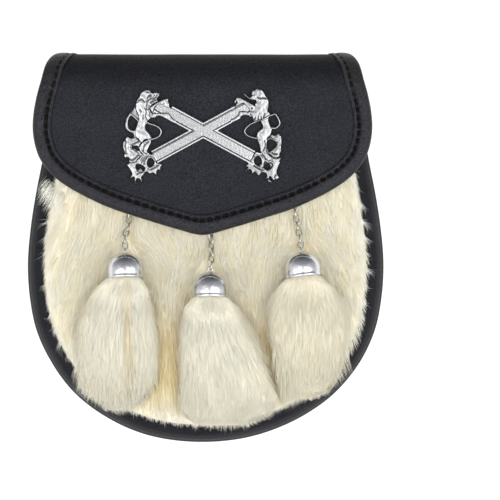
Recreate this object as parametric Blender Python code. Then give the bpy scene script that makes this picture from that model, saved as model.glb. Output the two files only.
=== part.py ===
"""Sporran pouch: a moulded leather pouch with a fur front, a bound leather flap that carries a saltire badge with two
rampant lions, and three fur tassels that hang from chains under bell caps.

The pouch lies on its back. +X is to its right seen from the front, +Y towards its top, +Z out of its front.
Lengths in the tables are millimetres.
"""
import math

import bmesh
import bpy
from mathutils import Matrix, Vector
from mathutils.geometry import delaunay_2d_cdt

MM = 0.001
ORIGIN_Y = 0.0           # from the tables' zero height to the middle of the whole, mm

# ---------------------------------------------------------------- driving sizes, mm
LEATHER = 2.0            # walls of the back and of the moulded front
FLAP_LEATHER = 2.2
GAP = 0.3                # clearance between pieces
FRONT_Z = 32.3           # outer face of the front panel
RISE = 7.5               # how far the back curves up from the surface at its top
RISE_FROM, RISE_OVER = 0.0, 62.0
PELT_TOP = 37.6          # outer form of the fur
PELT_INSET = 10.4        # width of the leather rim round the fur
FLAP_X = -1.7            # the flap's middle line
FLAP_Z = 45.6            # middle of the flap's leather, front leaf
FLAP_BACK_Z = 4.0        # the same, back leaf
FLAP_CROWN = 3.0         # how far the front leaf falls to its sides
FOLD_Y, FOLD_RY = 90.0, 20.8
TIP_Y = 9.2              # lowest point of the flap's leather
CAP_H, CAP_TILT = 15.0, 8.0
WIRE = 0.8               # chain wire
LINK_LONG, LINK_WIDE, LINK_PITCH = 5.8, 4.0, 3.95
RING_WIRE, RING_HALF, RING_Y, RING_X = 2.4, 12.0, 57.0, 55.0
TAB_WIDE, TAB_LEATHER = 20.0, 1.2

# half width of the moulded body at each height, from the mouth to the bottom, and where its middle lies there
BODY = [  # y, half_width, centre_x
    (95.0, 85.6, 0.0), (78.0, 89.0, 0.0), (62.0, 92.7, 0.0), (49.6, 94.9, 0.0), (31.0, 98.6, 0.0), (12.5, 101.5, 0.0),
    (-10.7, 103.3, 0.0), (-29.3, 102.1, 0.0), (-47.9, 98.3, 0.0), (-66.4, 89.7, 0.0), (-85.0, 75.0, -0.6),
    (-98.9, 55.8, -1.2), (-108.2, 34.3, -2.0), (-113.0, 0.0, -2.0),
]
# the side wall and rim in section: how far each ring lies inside the outline, and how far up it is from back to front
WALL_OUTER = [  # inset, rise (0 at the back, 1 at the front face)
    (3.0, 0.00), (0.8, 0.14), (0.0, 0.34), (0.0, 0.50), (0.9, 0.68), (3.2, 0.855), (6.8, 0.965), (11.2, 1.0),
]
WALL_INNER = [
    (5.2, 0.00), (2.9, 0.14), (2.0, 0.34), (2.0, 0.50), (2.8, 0.66), (4.8, 0.81), (7.8, 0.905), (12.2, 0.9335),
]
PELT = [  # inset from the outline, z
    (11.4, FRONT_Z + GAP), (PELT_INSET, 34.2), (11.6, 36.4), (16.0, PELT_TOP),
]
# half width of the flap's leather, by the distance along it from the level of its tip; past the fold it is on the back
FLAP = [  # along, half_width
    (155.7, 78.0), (130.7, 79.8), (114.7, 81.9), (105.2, 85.6), (97.2, 88.6), (87.1, 91.0), (77.5, 93.6), (68.2, 95.3),
    (59.0, 95.8), (49.7, 94.4), (43.1, 92.0), (37.0, 87.8), (30.9, 81.4), (25.6, 73.4), (19.9, 62.4), (15.1, 51.4),
    (10.5, 37.6), (6.2, 24.0), (2.5, 11.2), (0.7, 5.0), (0.0, 0.0),
]
# the binding in section: out is measured from the leather's edge, up from its middle; the list runs once round it
BINDING = [  # out, up
    (-8.6, 1.5), (0.4, 1.5), (0.4, -1.5), (-7.6, -1.5), (-7.6, -2.6), (0.2, -2.6), (1.6, -1.7), (2.1, 0.0), (1.6, 1.7),
    (-0.4, 2.8), (-3.4, 2.9), (-5.9, 2.5), (-7.0, 2.7), (-8.6, 2.6),
]
CHAINS = {  # from the cap's loop up to the eye: x, y, z
    "left": [(-46.3, -3.0, 47.1), (-46.3, 2.6, 45.6), (-46.0, 7.6, 43.5), (-44.4, 12.5, 41.4), (-44.6, 18.9, 40.1),
             (-44.5, 28.0, 39.9), (-44.3, 42.0, 39.9)],
    "centre": [(2.9, -14.2, 47.1), (3.4, -8.0, 45.4), (3.5, -3.0, 43.4), (3.3, 2.0, 41.4), (3.0, 8.0, 40.1),
               (2.6, 16.0, 39.9), (2.0, 32.0, 39.9)],
    "right": [(55.0, -2.6, 47.1), (54.8, 2.6, 45.6), (53.9, 8.4, 43.4), (52.8, 14.0, 41.4), (51.7, 20.8, 40.1),
              (51.0, 30.0, 39.9), (50.6, 44.0, 39.9)],
}
CHAIN_ROWS = [  # chain, links, roll of the loop in degrees (0 has its face to the front), lean of the cap in degrees
    ("left", 9, 90.0, 1.0), ("centre", 8, 0.0, 0.0), ("right", 9, 90.0, 7.3),
]
# the polished cap, turned about its axis: radius at each height above its mouth
CAP = [(10.8, 0.0), (10.8, 0.7), (10.5, 1.4), (10.5, 5.0), (10.2, 8.0), (9.2, 10.8), (7.2, 13.1), (4.2, 14.5), (0.0, 15.0)]
CAP_INSIDE = [(0.0, 14.1), (5.0, 13.0), (8.4, 10.2), (9.5, 6.5), (9.8, 0.0)]
NECK = [(5.8, 11.5), (7.6, 8.5), (8.9, 4.5), (8.9, -0.8)]  # the part of the tassel inside its cap: radius, height
# each tassel's fur, in rows down from the cap
TASSELS = {  # y, left edge, right edge, lowest z, thickness
    "left": [(-21.5, -61.6, -34.0, 38.2, 17.6),
             (-31.0, -68.8, -29.8, 37.9, 15.8), (-41.5, -74.0, -27.4, 37.9, 14.4), (-56.0, -76.8, -25.6, 37.9, 13.4),
             (-68.0, -76.4, -25.6, 37.9, 12.4), (-78.0, -74.2, -28.1, 37.9, 10.8), (-84.2, -70.0, -32.8, 37.9, 8.6),
             (-89.0, -61.4, -37.6, 37.9, 6.2), (-93.8, -55.0, -44.6, 37.9, 4.2)],
    "centre": [(-32.0, -10.4, 16.2, 38.2, 17.6),
               (-41.0, -14.6, 23.2, 37.9, 15.8), (-52.0, -16.4, 29.2, 37.9, 14.4), (-65.0, -16.8, 35.2, 37.9, 13.4),
               (-78.0, -16.6, 40.6, 37.9, 12.2), (-89.5, -16.2, 44.2, 37.9, 9.4), (-97.0, -13.6, 35.4, 37.9, 6.6),
               (-102.6, -3.0, 22.0, 37.9, 4.2)],
    "right": [(-22.5, 42.0, 73.0, 38.2, 17.6),
              (-31.0, 36.0, 80.2, 37.9, 15.8), (-44.0, 34.8, 83.8, 37.9, 14.2), (-57.0, 36.8, 84.0, 37.9, 13.0),
              (-70.0, 40.2, 80.4, 37.9, 11.4), (-79.0, 43.0, 75.0, 37.9, 9.0), (-85.0, 44.6, 72.6, 37.9, 6.6),
              (-89.0, 46.0, 66.0, 37.9, 4.2)],
}

# the badge: a saltire of two bars with a lion at each side, seen from the front, from the crossing's middle
BADGE_X, BADGE_Y = -1.2, 67.3
BADGE_THICK, BADGE_CELL, BADGE_MIN_R = 2.6, 0.8, 0.62
BAR_ANGLE, BAR_WIDTH, BAR_UP, BAR_DOWN = 28.5, 8.2, 22.5, 32.0
LIONS = [  # name, outline: each is filled; x is across and y up from the crossing's middle
    ("left_body", [
        (-36.3, 21.1), (-35.3, 22.2), (-33.9, 23), (-32.4, 23.3), (-31, 23.2), (-30.2, 22.5), (-29.7, 21.7),
        (-28.4, 21.7), (-27.2, 22), (-26.1, 21.8), (-25.1, 21.6), (-24.9, 20.8), (-25.6, 19.3), (-26.5, 18.1),
        (-25.9, 17.3), (-26.1, 16.5), (-27.8, 15.6), (-29.3, 14.8), (-30.1, 13.7), (-30.4, 12.2), (-29.8, 10.4),
        (-28.7, 8.7), (-28.8, 7.2), (-30, 7), (-31, 6.1), (-32.2, 5), (-33.7, 3.6), (-34.1, 1.9), (-33.6, 0.5),
        (-32.2, -0.9), (-30.8, -2.6), (-30.2, -4.6), (-31.3, -5.2), (-32.8, -5.2), (-34.1, -5.6), (-34.8, -6.8),
        (-35.6, -7), (-36.4, -6.1), (-37.3, -4.8), (-38.2, -4.5), (-38.9, -3.5), (-39.3, -1.8), (-39.2, -0),
        (-38.8, 1.4), (-38.2, 3.2), (-37.7, 4.7), (-37.3, 5.7), (-37.1, 7.5), (-37.3, 9), (-38.2, 10.7),
        (-38.8, 12.1), (-38.9, 14.5), (-38.6, 16.2), (-37.9, 18), (-36.8, 19.6)]),
    ("left_foreleg", [
        (-30.4, 13.1), (-28.8, 14.7), (-26.6, 16), (-24.6, 17.1), (-22.6, 18), (-21, 18.4), (-20, 18.4),
        (-20.1, 17.1), (-19.9, 16.3), (-19.3, 15.2), (-19.5, 14.5), (-18.9, 13.3), (-20.8, 13.1), (-22.8, 14.2),
        (-24.7, 15.2), (-26.1, 14.9), (-27.6, 13.7), (-28.4, 12.6), (-28.7, 10.9), (-29.3, 10.4), (-30.1, 11.6)]),
    ("left_bar_end", [
        (-29.2, 10.9), (-28.4, 12.8), (-27.5, 14), (-26.1, 15.2), (-24.7, 15.6), (-17.9, 11.9), (-16.2, 4.9),
        (-17.9, 4.7), (-20.3, 6), (-22.6, 7.3), (-24.9, 8.3), (-26.5, 8.2), (-27.9, 7.2), (-28.7, 7.3), (-29.3, 8.7)]),
    ("left_foreleg_low", [
        (-29.2, 9.5), (-27.2, 10.1), (-24.9, 10.2), (-22, 10.1), (-19.9, 10), (-19.1, 9), (-17.6, 6.9), (-15.9, 5.6),
        (-16.5, 4.2), (-17.9, 4.7), (-20.3, 6), (-22.6, 7.3), (-24.9, 8.3), (-26.5, 8.2), (-28, 7.2), (-28.7, 7.3)]),
    ("left_tuft", [
        (-39.6, 14.2), (-38.9, 13.1), (-38.5, 11.3), (-37.4, 9.3), (-36.8, 7.2), (-37.1, 5.4), (-39.7, 7.5),
        (-41.4, 9.2), (-42.1, 10.5), (-40.8, 11.5), (-40.2, 12.5)]),
    ("left_loop", [
        (-42, 10.5), (-43.2, 8.9), (-44.2, 7.2), (-44.7, 5.4), (-45, 3.5), (-44.8, 1.9), (-44.2, 0.6), (-43.1, -0.4),
        (-41.7, -1.2), (-40.2, -1.5), (-38.6, -1.5), (-37.7, 3.2), (-36.7, 5.7), (-39.2, 7.5)]),
    ("left_link", [
        (-41.7, -0.7), (-39.4, -0.7), (-38.7, -2.3), (-38.5, -4.2), (-40.6, -4.5), (-39.9, -2.9), (-40.4, -1.9)]),
    ("left_brush", [
        (-43.7, -3.2), (-42.6, -3.7), (-40.9, -4.3), (-39.9, -4), (-38.5, -3.7), (-37.4, -4.8), (-36.5, -6),
        (-35.6, -6.9), (-36.3, -7.9), (-36.7, -9), (-36.7, -10.9), (-36, -12.4), (-35, -13.8), (-36.3, -15),
        (-37.7, -16.5), (-39.2, -18.2), (-40.6, -18.5), (-42.3, -18.4), (-42.9, -17.1), (-42.5, -16.2),
        (-43.3, -15.5), (-44.9, -15.8), (-45.7, -14.6), (-45.3, -12.8), (-45.8, -11.1), (-46.3, -9.4), (-46.2, -7.3),
        (-45.8, -6.1), (-45.2, -5.8), (-45, -4.7), (-44.4, -3.7)]),
    ("left_leg", [
        (-34.4, -7.3), (-32.4, -6.2), (-29.9, -5.5), (-29.9, -6.9), (-30.8, -8.8), (-31.7, -10.8), (-32, -11.9),
        (-31.3, -13), (-29.8, -13.6), (-28.3, -13.8), (-28, -15.6), (-31.9, -15.4), (-34.8, -13.5), (-35.9, -11.7),
        (-36.4, -9.7), (-35.6, -8.2)]),
    ("left_base", [
        (-44, -19.9), (-43.2, -19), (-42.3, -18.4), (-40.6, -18.3), (-39.1, -17.8), (-37.4, -16.3), (-36, -14.7),
        (-35, -13.5), (-33.6, -13.3), (-32.2, -14), (-30.9, -14.7), (-29.5, -14.7), (-28.1, -15.5), (-27.1, -16.9),
        (-27, -18.4), (-25.7, -18.9), (-24.3, -19.1), (-23.5, -19.6), (-24, -20.6), (-24.6, -21.5), (-24.3, -22.5),
        (-23.3, -23.4), (-24.6, -23), (-26.3, -22.9), (-26.8, -23.9), (-26.6, -25), (-26.6, -26.1), (-27.9, -25),
        (-29.2, -24.4), (-30.4, -25), (-31.2, -24.8), (-32.1, -24), (-33, -23.9), (-33.8, -24.7), (-34.5, -25.9),
        (-35.5, -26.8), (-35.3, -28.1), (-34.6, -30.2), (-35.7, -29.3), (-36.8, -27.9), (-38, -27.8), (-38.6, -28.6),
        (-38.8, -29.5), (-38.2, -30.7), (-39.3, -30.2), (-39.7, -28.7), (-39.5, -27.2), (-40.2, -26.8),
        (-41.4, -27.5), (-42.5, -28.3), (-42, -26.9), (-41.3, -25.6), (-41.1, -24.6), (-41.8, -23.2), (-42.6, -21.9),
        (-43.3, -20.8)]),
    ("right_body", [
        (30.7, 24.1), (31.7, 23.7), (32.8, 23.5), (33.7, 23.4), (34.4, 22.4), (35.3, 21.6), (35.8, 20.2),
        (36.6, 19.1), (37.4, 17.8), (37.8, 16.5), (37.7, 14.5), (37.4, 12.7), (37.1, 11.3), (38.1, 10.5),
        (38.5, 9.5), (38, 7.5), (37.5, 6.2), (38, 4.8), (38.4, 3.2), (39, 2), (39.9, 1.1), (39.4, -0.1),
        (39.2, -1.8), (38.7, -2.9), (37.3, -4.1), (37, -5.5), (36.7, -7.3), (36.6, -9.3), (36.2, -11), (34.8, -12.3),
        (33.4, -12.7), (32.5, -11.8), (32.5, -10.1), (31.9, -7.9), (31, -5.5), (30.4, -3.8), (30.8, -2),
        (31.7, -0.4), (33.3, 0.8), (34.1, 2.4), (33.7, 3.6), (33.2, 4.3), (32.9, 5.3), (31.1, 5), (29, 4.8),
        (28.6, 6.4), (28.1, 7.8), (26.8, 7.7), (26.1, 8.5), (25.2, 8.9), (26.1, 10.7), (28.1, 12.1), (29.2, 13.3),
        (29.6, 14.3), (29.5, 15.3), (30.4, 16.5), (30, 17.3), (29, 17.4), (27.4, 17.8), (26.5, 18.5), (26.5, 19.3),
        (27.6, 19.6), (27.5, 20.6), (27.6, 21.7), (28.2, 22.8), (29.4, 23.2)]),
    ("right_foreleg", [
        (18.9, 18.9), (20.7, 19), (22.4, 18.4), (24.4, 17.3), (26.7, 16.1), (28.5, 15.1), (29.9, 14.1), (29.3, 12.5),
        (28.5, 11.3), (27.1, 11.1), (25.9, 12.5), (24.6, 14.2), (23.4, 15.4), (22.3, 15.6), (20.9, 14.8),
        (19.4, 14.2), (18.7, 14.9), (19.2, 16.2), (18.7, 16.9)]),
    ("right_bar_end", [
        (18, 13.8), (22.3, 15.7), (23.7, 15.2), (27.6, 11.6), (28.7, 10.1), (27.3, 8.3), (25, 8.6), (23.5, 8.8),
        (21.5, 7.9), (19.2, 6.4), (16.6, 5)]),
    ("right_foreleg_low", [
        (28.8, 11.1), (25.6, 11), (22.7, 11.1), (20.6, 11), (20.2, 9.8), (19.3, 8.4), (17.7, 7.1), (15.9, 6.2),
        (16.3, 4.7), (19.2, 6.4), (21.5, 7.8), (23.5, 8.8), (25, 8.6), (27.3, 8.2), (29.3, 8.2)]),
    ("right_paw_tip", [
        (17.9, 15.8), (18, 17.3), (18.6, 17.7), (19, 17.1), (18.8, 15.9), (18.4, 15)]),
    ("right_brush", [
        (43.4, -1.1), (44, -2.3), (44.9, -2.7), (45.1, -4.1), (45.3, -5.6), (45.3, -7), (45, -8.7), (44.9, -10.2),
        (44.9, -12), (44, -13.4), (43.9, -14.9), (42.6, -15.9), (41.2, -16), (39.8, -15.2), (38.9, -14.2),
        (38, -13.9), (36.8, -13.1), (36.3, -11.7), (36.2, -9), (36.3, -6.7), (36.6, -5.3), (37.4, -4), (38.7, -2.6),
        (39.1, -1.7), (40.3, -2.5), (41.6, -2.5), (42.6, -1.9)]),
    ("right_base", [
        (30.4, -12.3), (32.3, -12.7), (33.7, -12.3), (35.2, -11.2), (36.2, -10.4), (36.6, -11.9), (37.2, -13.1),
        (38.3, -14.1), (39.8, -15), (41.6, -15.7), (43.2, -15.6), (44.9, -15.3), (44.5, -16.5), (43.9, -17.4),
        (44.3, -18.4), (43.8, -19.5), (43.2, -20.6), (42.9, -21.8), (42.4, -22.9), (42.4, -24.3), (43.1, -25.8),
        (43.9, -27.1), (42.7, -28.1), (42.3, -29), (41.6, -28), (40.6, -28.9), (39.7, -28.1), (39.1, -27.1),
        (38.2, -26.5), (38, -27.9), (39.2, -29), (40.4, -30.2), (38.6, -29.9), (36.9, -29.2), (37.2, -27.6),
        (35.9, -28.3), (36.2, -26.8), (36.4, -25.5), (35.9, -24.7), (34.7, -24.3), (33.7, -24.4), (32.8, -25.1),
        (31.9, -26.5), (31.3, -25.6), (30.5, -24.8), (29.6, -23.9), (28.9, -24.6), (28.1, -24.9), (27.7, -23.4),
        (27, -22.5), (25.6, -22.7), (23.7, -23.6), (25, -22.1), (25.7, -21.3), (24.3, -20.6), (24.8, -19.7),
        (25.6, -19.1), (25.6, -18.3), (26.5, -17.2), (27.9, -15.5), (29.3, -13.8)]),
]
LION_HOLES = [  # cut right through
    ("left_loop", [
        (-41.7, 8.2), (-40.8, 7.6), (-39.5, 6.6), (-38.2, 5.5), (-37.9, 4.8), (-38.5, 3.1), (-39.1, 1.3),
        (-39.6, 0.4), (-40.9, 0.4), (-42, 0.8), (-42.7, 1.7), (-43.1, 2.9), (-43.2, 4.3), (-42.9, 6.2), (-42.4, 7.4)]),
    ("left_brush", [
        (-40.7, -8.8), (-39.3, -9), (-37.9, -9.1), (-37.2, -10.1), (-37.3, -11.3), (-38.2, -11.4), (-39.6, -10.6),
        (-40.7, -10.2), (-41.1, -9.5)]),
    ("left_ring_a", [
        (-30.1, -16.2), (-29.1, -16.7), (-28.4, -17.7), (-28.1, -18.8), (-28.7, -19.9), (-29.7, -20.6), (-30.7, -21),
        (-31.5, -20.4), (-32, -19.3), (-32, -18.3), (-31.5, -17), (-30.9, -16.3)]),
    ("left_ring_b", [
        (-38.1, -20), (-36.7, -20.1), (-35.6, -20.3), (-34.5, -21), (-33.9, -22.1), (-34.3, -23), (-35.5, -21.7),
        (-36.7, -21.5), (-37.5, -22.4), (-38.3, -21.3)]),
    ("right_brush", [
        (37.5, -5.6), (38.3, -5.4), (39.5, -5.5), (40.9, -6.2), (42, -7.2), (42.3, -8.1), (41.5, -9.3),
        (40.4, -10.2), (39.5, -11.1), (38.6, -11.7), (38, -12.4), (37.3, -11.8), (36.9, -10.2), (36.9, -7.9),
        (37.1, -6.3)]),
    ("right_ring_a", [
        (31.2, -14.9), (32.3, -15.4), (33, -16.5), (33.3, -17.9), (33, -19.1), (32.1, -19.8), (30.9, -19.6),
        (29.9, -18.8), (29.4, -17.7), (29.6, -16.4), (30.3, -15.3)]),
    ("right_ring_b", [
        (35.5, -19.7), (36.7, -19.5), (37.9, -19.6), (38.4, -20.3), (38.3, -21.2), (37.5, -21.8), (36.3, -21.9),
        (35.4, -21.4), (35, -20.6)]),
]
LION_WIRES = [  # name, radius, middle line
    ("left_tail", 0.46, [
        (-32.1, 4.6), (-30.7, 3.8), (-28.7, 3.3), (-26.8, 2.5), (-25.2, 1.4), (-24.3, 0), (-24.3, -1.4), (-25.1, -3),
        (-26.6, -4.1), (-28.6, -4.8), (-30.7, -5.4), (-32.4, -6.1), (-34.1, -6.9), (-35.5, -8.1), (-36.2, -9.6),
        (-36, -11.2), (-35, -12.6), (-33.6, -13.6), (-31.6, -14.8)]),
    ("left_flank", 0.43, [
        (-32.1, 4.6), (-33.5, 3.4), (-33.9, 1.9), (-33.4, 0.5), (-32, -1), (-30.7, -2.7), (-29.9, -4.7)]),
    ("left_loop_edge", 0.43, [
        (-41.7, 9.7), (-40.3, 8.5), (-38.8, 7.1), (-37.3, 5.6)]),
    ("right_tail", 0.46, [
        (41.3, 9.5), (39.5, 8.9), (37.7, 8.2), (35.9, 7), (34, 6.1), (31.9, 5.4), (29.7, 4.7), (27.5, 3.8),
        (25.7, 2.5), (24.4, 1.1), (23.8, -0.3), (24.2, -1.6), (25.2, -2.7), (27, -3.6), (28.8, -4.1), (30.8, -4.6)]),
    ("right_loop", 0.49, [
        (41.3, 9.5), (42.4, 8.2), (43.3, 6.6), (43.9, 5), (43.8, 3.5), (42.8, 2.2), (41.6, 1.4), (40.1, 1.3),
        (38.9, 2)]),
    ("right_spike", 0.36, [
        (23.4, 20.9), (25.1, 19.5), (27.1, 18)]),
]

COLOURS = {  # material: base colour, roughness, metallic
    "black_leather": ((0.030, 0.030, 0.034), 0.55, 0.0),
    "black_binding": ((0.022, 0.022, 0.025), 0.42, 0.0),
    "ivory_fur": ((0.80, 0.74, 0.60), 0.85, 0.0),
    "bright_metal": ((0.82, 0.83, 0.85), 0.14, 1.0),
}


# ---------------------------------------------------------------- helpers
def clear():
    for ob in list(bpy.data.objects):
        bpy.data.objects.remove(ob, do_unlink=True)


def material(node, kind):
    colour, rough, metal = COLOURS[kind]
    mat = bpy.data.materials.new(node)
    mat.use_nodes = True
    bsdf = mat.node_tree.nodes["Principled BSDF"]
    bsdf.inputs["Base Color"].default_value = (*colour, 1.0)
    bsdf.inputs["Roughness"].default_value = rough
    bsdf.inputs["Metallic"].default_value = metal
    mat.diffuse_color = (*colour, 1.0)
    return mat


def solid(node, points, faces, kind, smooth=40.0):
    """An object from points in mm; its faces are turned to point out."""
    mesh = bpy.data.meshes.new(node)
    mesh.from_pydata([(Vector(p) - Vector((0.0, ORIGIN_Y, 0.0))) * MM for p in points], [], faces)
    bm = bmesh.new()
    bm.from_mesh(mesh)
    bmesh.ops.recalc_face_normals(bm, faces=bm.faces)
    bm.to_mesh(mesh)
    bm.free()
    mesh.shade_smooth()
    mesh.set_sharp_from_angle(angle=math.radians(smooth))
    mesh.materials.append(material(node, kind))
    ob = bpy.data.objects.new(node, mesh)
    bpy.context.collection.objects.link(ob)
    return ob


def cutter(name, points, faces):
    ob = solid(name, points, faces, "bright_metal")
    ob.hide_render = True
    ob.display_type = "WIRE"
    return ob


def boolean(ob, other, operation):
    mod = ob.modifiers.new(operation.lower(), "BOOLEAN")
    mod.operation = operation
    mod.solver = "EXACT"
    mod.object = other


def spline(points, per=24):
    """A dense smooth curve through the points (Catmull-Rom, centripetal)."""
    pts = [Vector(p) for p in points]
    pts = [2 * pts[0] - pts[1]] + pts + [2 * pts[-1] - pts[-2]]
    out = []
    for p0, p1, p2, p3 in zip(pts, pts[1:], pts[2:], pts[3:]):
        t0 = 0.0
        t1 = t0 + max((p1 - p0).length, 1e-6) ** 0.5
        t2 = t1 + max((p2 - p1).length, 1e-6) ** 0.5
        t3 = t2 + max((p3 - p2).length, 1e-6) ** 0.5
        for k in range(per):
            t = t1 + (t2 - t1) * k / per
            a1 = p0 * ((t1 - t) / (t1 - t0)) + p1 * ((t - t0) / (t1 - t0))
            a2 = p1 * ((t2 - t) / (t2 - t1)) + p2 * ((t - t1) / (t2 - t1))
            a3 = p2 * ((t3 - t) / (t3 - t2)) + p3 * ((t - t2) / (t3 - t2))
            b1 = a1 * ((t2 - t) / (t2 - t0)) + a2 * ((t - t0) / (t2 - t0))
            b2 = a2 * ((t3 - t) / (t3 - t1)) + a3 * ((t - t1) / (t3 - t1))
            out.append(b1 * ((t2 - t) / (t2 - t1)) + b2 * ((t - t1) / (t2 - t1)))
    out.append(pts[-2])
    return out


def evenly(dense, count, weight=lambda p: 1.0):
    """count points at equal distances along a dense line, closer together where the weight is over 1."""
    run = [0.0]
    for a, b in zip(dense, dense[1:]):
        run.append(run[-1] + (b - a).length * weight(a))
    out, j = [], 0
    for k in range(count):
        want = run[-1] * k / (count - 1)
        while j < len(run) - 2 and run[j + 1] < want:
            j += 1
        f = (want - run[j]) / max(run[j + 1] - run[j], 1e-9)
        out.append(dense[j].lerp(dense[j + 1], min(max(f, 0.0), 1.0)))
    return out


def outline(rows, half, weight=lambda p: 1.0):
    """Stations round an outline given by half widths: right side down to the bottom, then up the left side.

    rows are (height, half width, middle x), top first. Gives (point, outward normal) pairs, 2 * half + 1 of them.
    """
    edge = [Vector((w, y)) for y, w, _ in rows]
    edge.append(Vector((-edge[-2].x, edge[-2].y)))  # past the bottom, so the curve is level there
    dense = spline([(p.x, p.y, 0.0) for p in edge])
    low = min(range(len(dense)), key=lambda i: abs(dense[i].x))
    right = evenly(dense[: low + 1], half + 1, weight)
    right[-1].x = 0.0

    def middle(y):
        for (y0, _, c0), (y1, _, c1) in zip(rows, rows[1:]):
            if y1 <= y <= y0:
                return c0 + (c1 - c0) * (y0 - y) / (y0 - y1)
        return rows[-1][2] if y < rows[-1][0] else rows[0][2]

    pts = [Vector((p.x, p.y)) for p in right] + [Vector((-p.x, p.y)) for p in reversed(right[:-1])]
    out = []
    for i, p in enumerate(pts):
        a, b = pts[max(i - 1, 0)], pts[min(i + 1, len(pts) - 1)]
        if i == 0:
            a = pts[0]
        if i == len(pts) - 1:
            b = pts[-1]
        t = (b - a).normalized()
        n = Vector((-t.y, t.x))
        if n.dot(p - Vector((0.0, p.y * 0.3))) < 0:
            n = -n
        out.append((Vector((p.x + middle(p.y), p.y)), n))
    return out


def ladder(rings, columns, place=lambda p: p):
    """Faces and points of a sheet: rings of stations round an outline, then rows straight across the innermost ring."""
    count = len(rings[0])
    mid = count // 2
    points = [place(Vector(p)) for ring in rings for p in ring]
    faces = []
    for r in range(len(rings) - 1):
        for i in range(count - 1):
            a, b = r * count + i, (r + 1) * count + i
            faces.append((a, a + 1, b + 1, b))
    inner, base = rings[-1], (len(rings) - 1) * count
    rows = []
    for i in range(mid):
        right, left = Vector(inner[i]), Vector(inner[count - 1 - i])
        row = [base + i]
        for k in range(1, columns):
            row.append(len(points))
            points.append(place(right.lerp(left, k / columns)))
        row.append(base + count - 1 - i)
        rows.append(row)
    for a, b in zip(rows, rows[1:]):
        for k in range(columns):
            faces.append((b[k], b[k + 1], a[k + 1], a[k]))
    for k in range(columns):
        faces.append((rows[-1][k + 1], rows[-1][k], base + mid))
    return points, faces


def thick(front, back, faces):
    """A closed body from two matching sheets, joined all round their edge."""
    n = len(front)
    used = {}
    for f in faces:
        for a, b in zip(f, f[1:] + f[:1]):
            used[(a, b)] = True
    out = [tuple(f) for f in faces] + [tuple(i + n for i in reversed(f)) for f in faces]
    for (a, b) in used:
        if (b, a) not in used:
            out.append((b, a, a + n, b + n))
    return front + back, out


def turned(profile, segments, frame):
    """A closed turned body. profile runs from a point on the axis to a point on the axis, or is a closed loop."""
    points, faces, rings = [], [], []
    for r, h in profile:
        if r < 1e-6:
            rings.append([len(points)])
            points.append(frame @ Vector((0, 0, h)))
        else:
            rings.append(list(range(len(points), len(points) + segments)))
            for k in range(segments):
                a = 2 * math.pi * k / segments
                points.append(frame @ Vector((r * math.cos(a), r * math.sin(a), h)))
    for a, b in zip(rings, rings[1:]):
        for k in range(segments):
            j = (k + 1) % segments
            if len(a) == 1:
                faces.append((a[0], b[k], b[j]))
            elif len(b) == 1:
                faces.append((a[k], b[0], a[j]))
            else:
                faces.append((a[k], b[k], b[j], a[j]))
    return points, faces


def swept(section, centres, closed):
    """A closed body from matching rings of points; section gives the ring at a station."""
    rings = [section(i) for i in range(len(centres))]
    points = [p for ring in rings for p in ring]
    m, n = len(rings[0]), len(rings)
    faces = []
    for i in range(n if closed else n - 1):
        for k in range(m):
            a, b = i * m, ((i + 1) % n) * m
            j = (k + 1) % m
            faces.append((a + k, a + j, b + j, b + k))
    if not closed:
        faces.append(tuple(range(m)))
        faces.append(tuple((n - 1) * m + k for k in reversed(range(m))))
    return points, faces


def frame_at(origin, along, roll):
    """A frame whose +Y runs along the chain; roll turns the link about it, 0 with its face to the front."""
    y = along.normalized()
    x = y.cross(Vector((0, 0, 1))).normalized()
    z = x.cross(y).normalized()
    base = Matrix((x, y, z)).transposed().to_4x4()
    return Matrix.Translation(origin) @ base @ Matrix.Rotation(math.radians(roll), 4, "Y")


def oval_link(frame, steps=10, sides=4):
    """A chain link: round wire along an oval, long in the frame's Y."""
    hx, hy, r = (LINK_WIDE - WIRE) / 2, (LINK_LONG - WIRE) / 2, WIRE / 2
    path = []
    for k in range(steps):
        a = 2 * math.pi * (k + 0.5) / steps
        c, s = math.cos(a), math.sin(a)
        q = (abs(c) ** 2.6 + abs(s) ** 2.6) ** (-1 / 2.6)
        path.append(Vector((hx * q * c, hy * q * s, 0.0)))

    def section(i):
        t = (path[(i + 1) % steps] - path[i - 1]).normalized()
        n = Vector((t.y, -t.x, 0.0))
        return [frame @ (path[i] + n * (r * math.cos(2 * math.pi * (k + 0.5) / sides) * 1.05)
                         + Vector((0, 0, 1)) * (r * math.sin(2 * math.pi * (k + 0.5) / sides) * 1.05))
                for k in range(sides)]

    return swept(section, path, True)


# ---------------------------------------------------------------- shapes that several pieces share
def smoothstep(t):
    t = min(max(t, 0.0), 1.0)
    return t * t * (3 - 2 * t)


def back_z(y):
    """Height of the back's outer face: flat on the surface, then curving up towards the top."""
    return RISE * smoothstep((y - RISE_FROM) / RISE_OVER)


def fold_run(steps=48):
    """The flap's fold in section: distance along it, y and z, from the front leaf round to the back leaf."""
    rz = (FLAP_Z - FLAP_BACK_Z) / 2
    rows, run, last = [], 0.0, None
    for k in range(steps + 1):
        a = math.pi * k / steps
        p = Vector((FOLD_Y + FOLD_RY * math.sin(a), FLAP_Z - rz + rz * math.cos(a)))
        if last is not None:
            run += (p - last).length
        rows.append((run, p))
        last = p
    return rows


FOLD = fold_run()
FOLD_LEN = FOLD[-1][0]
FOLD_START = FOLD_Y - TIP_Y


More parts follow.
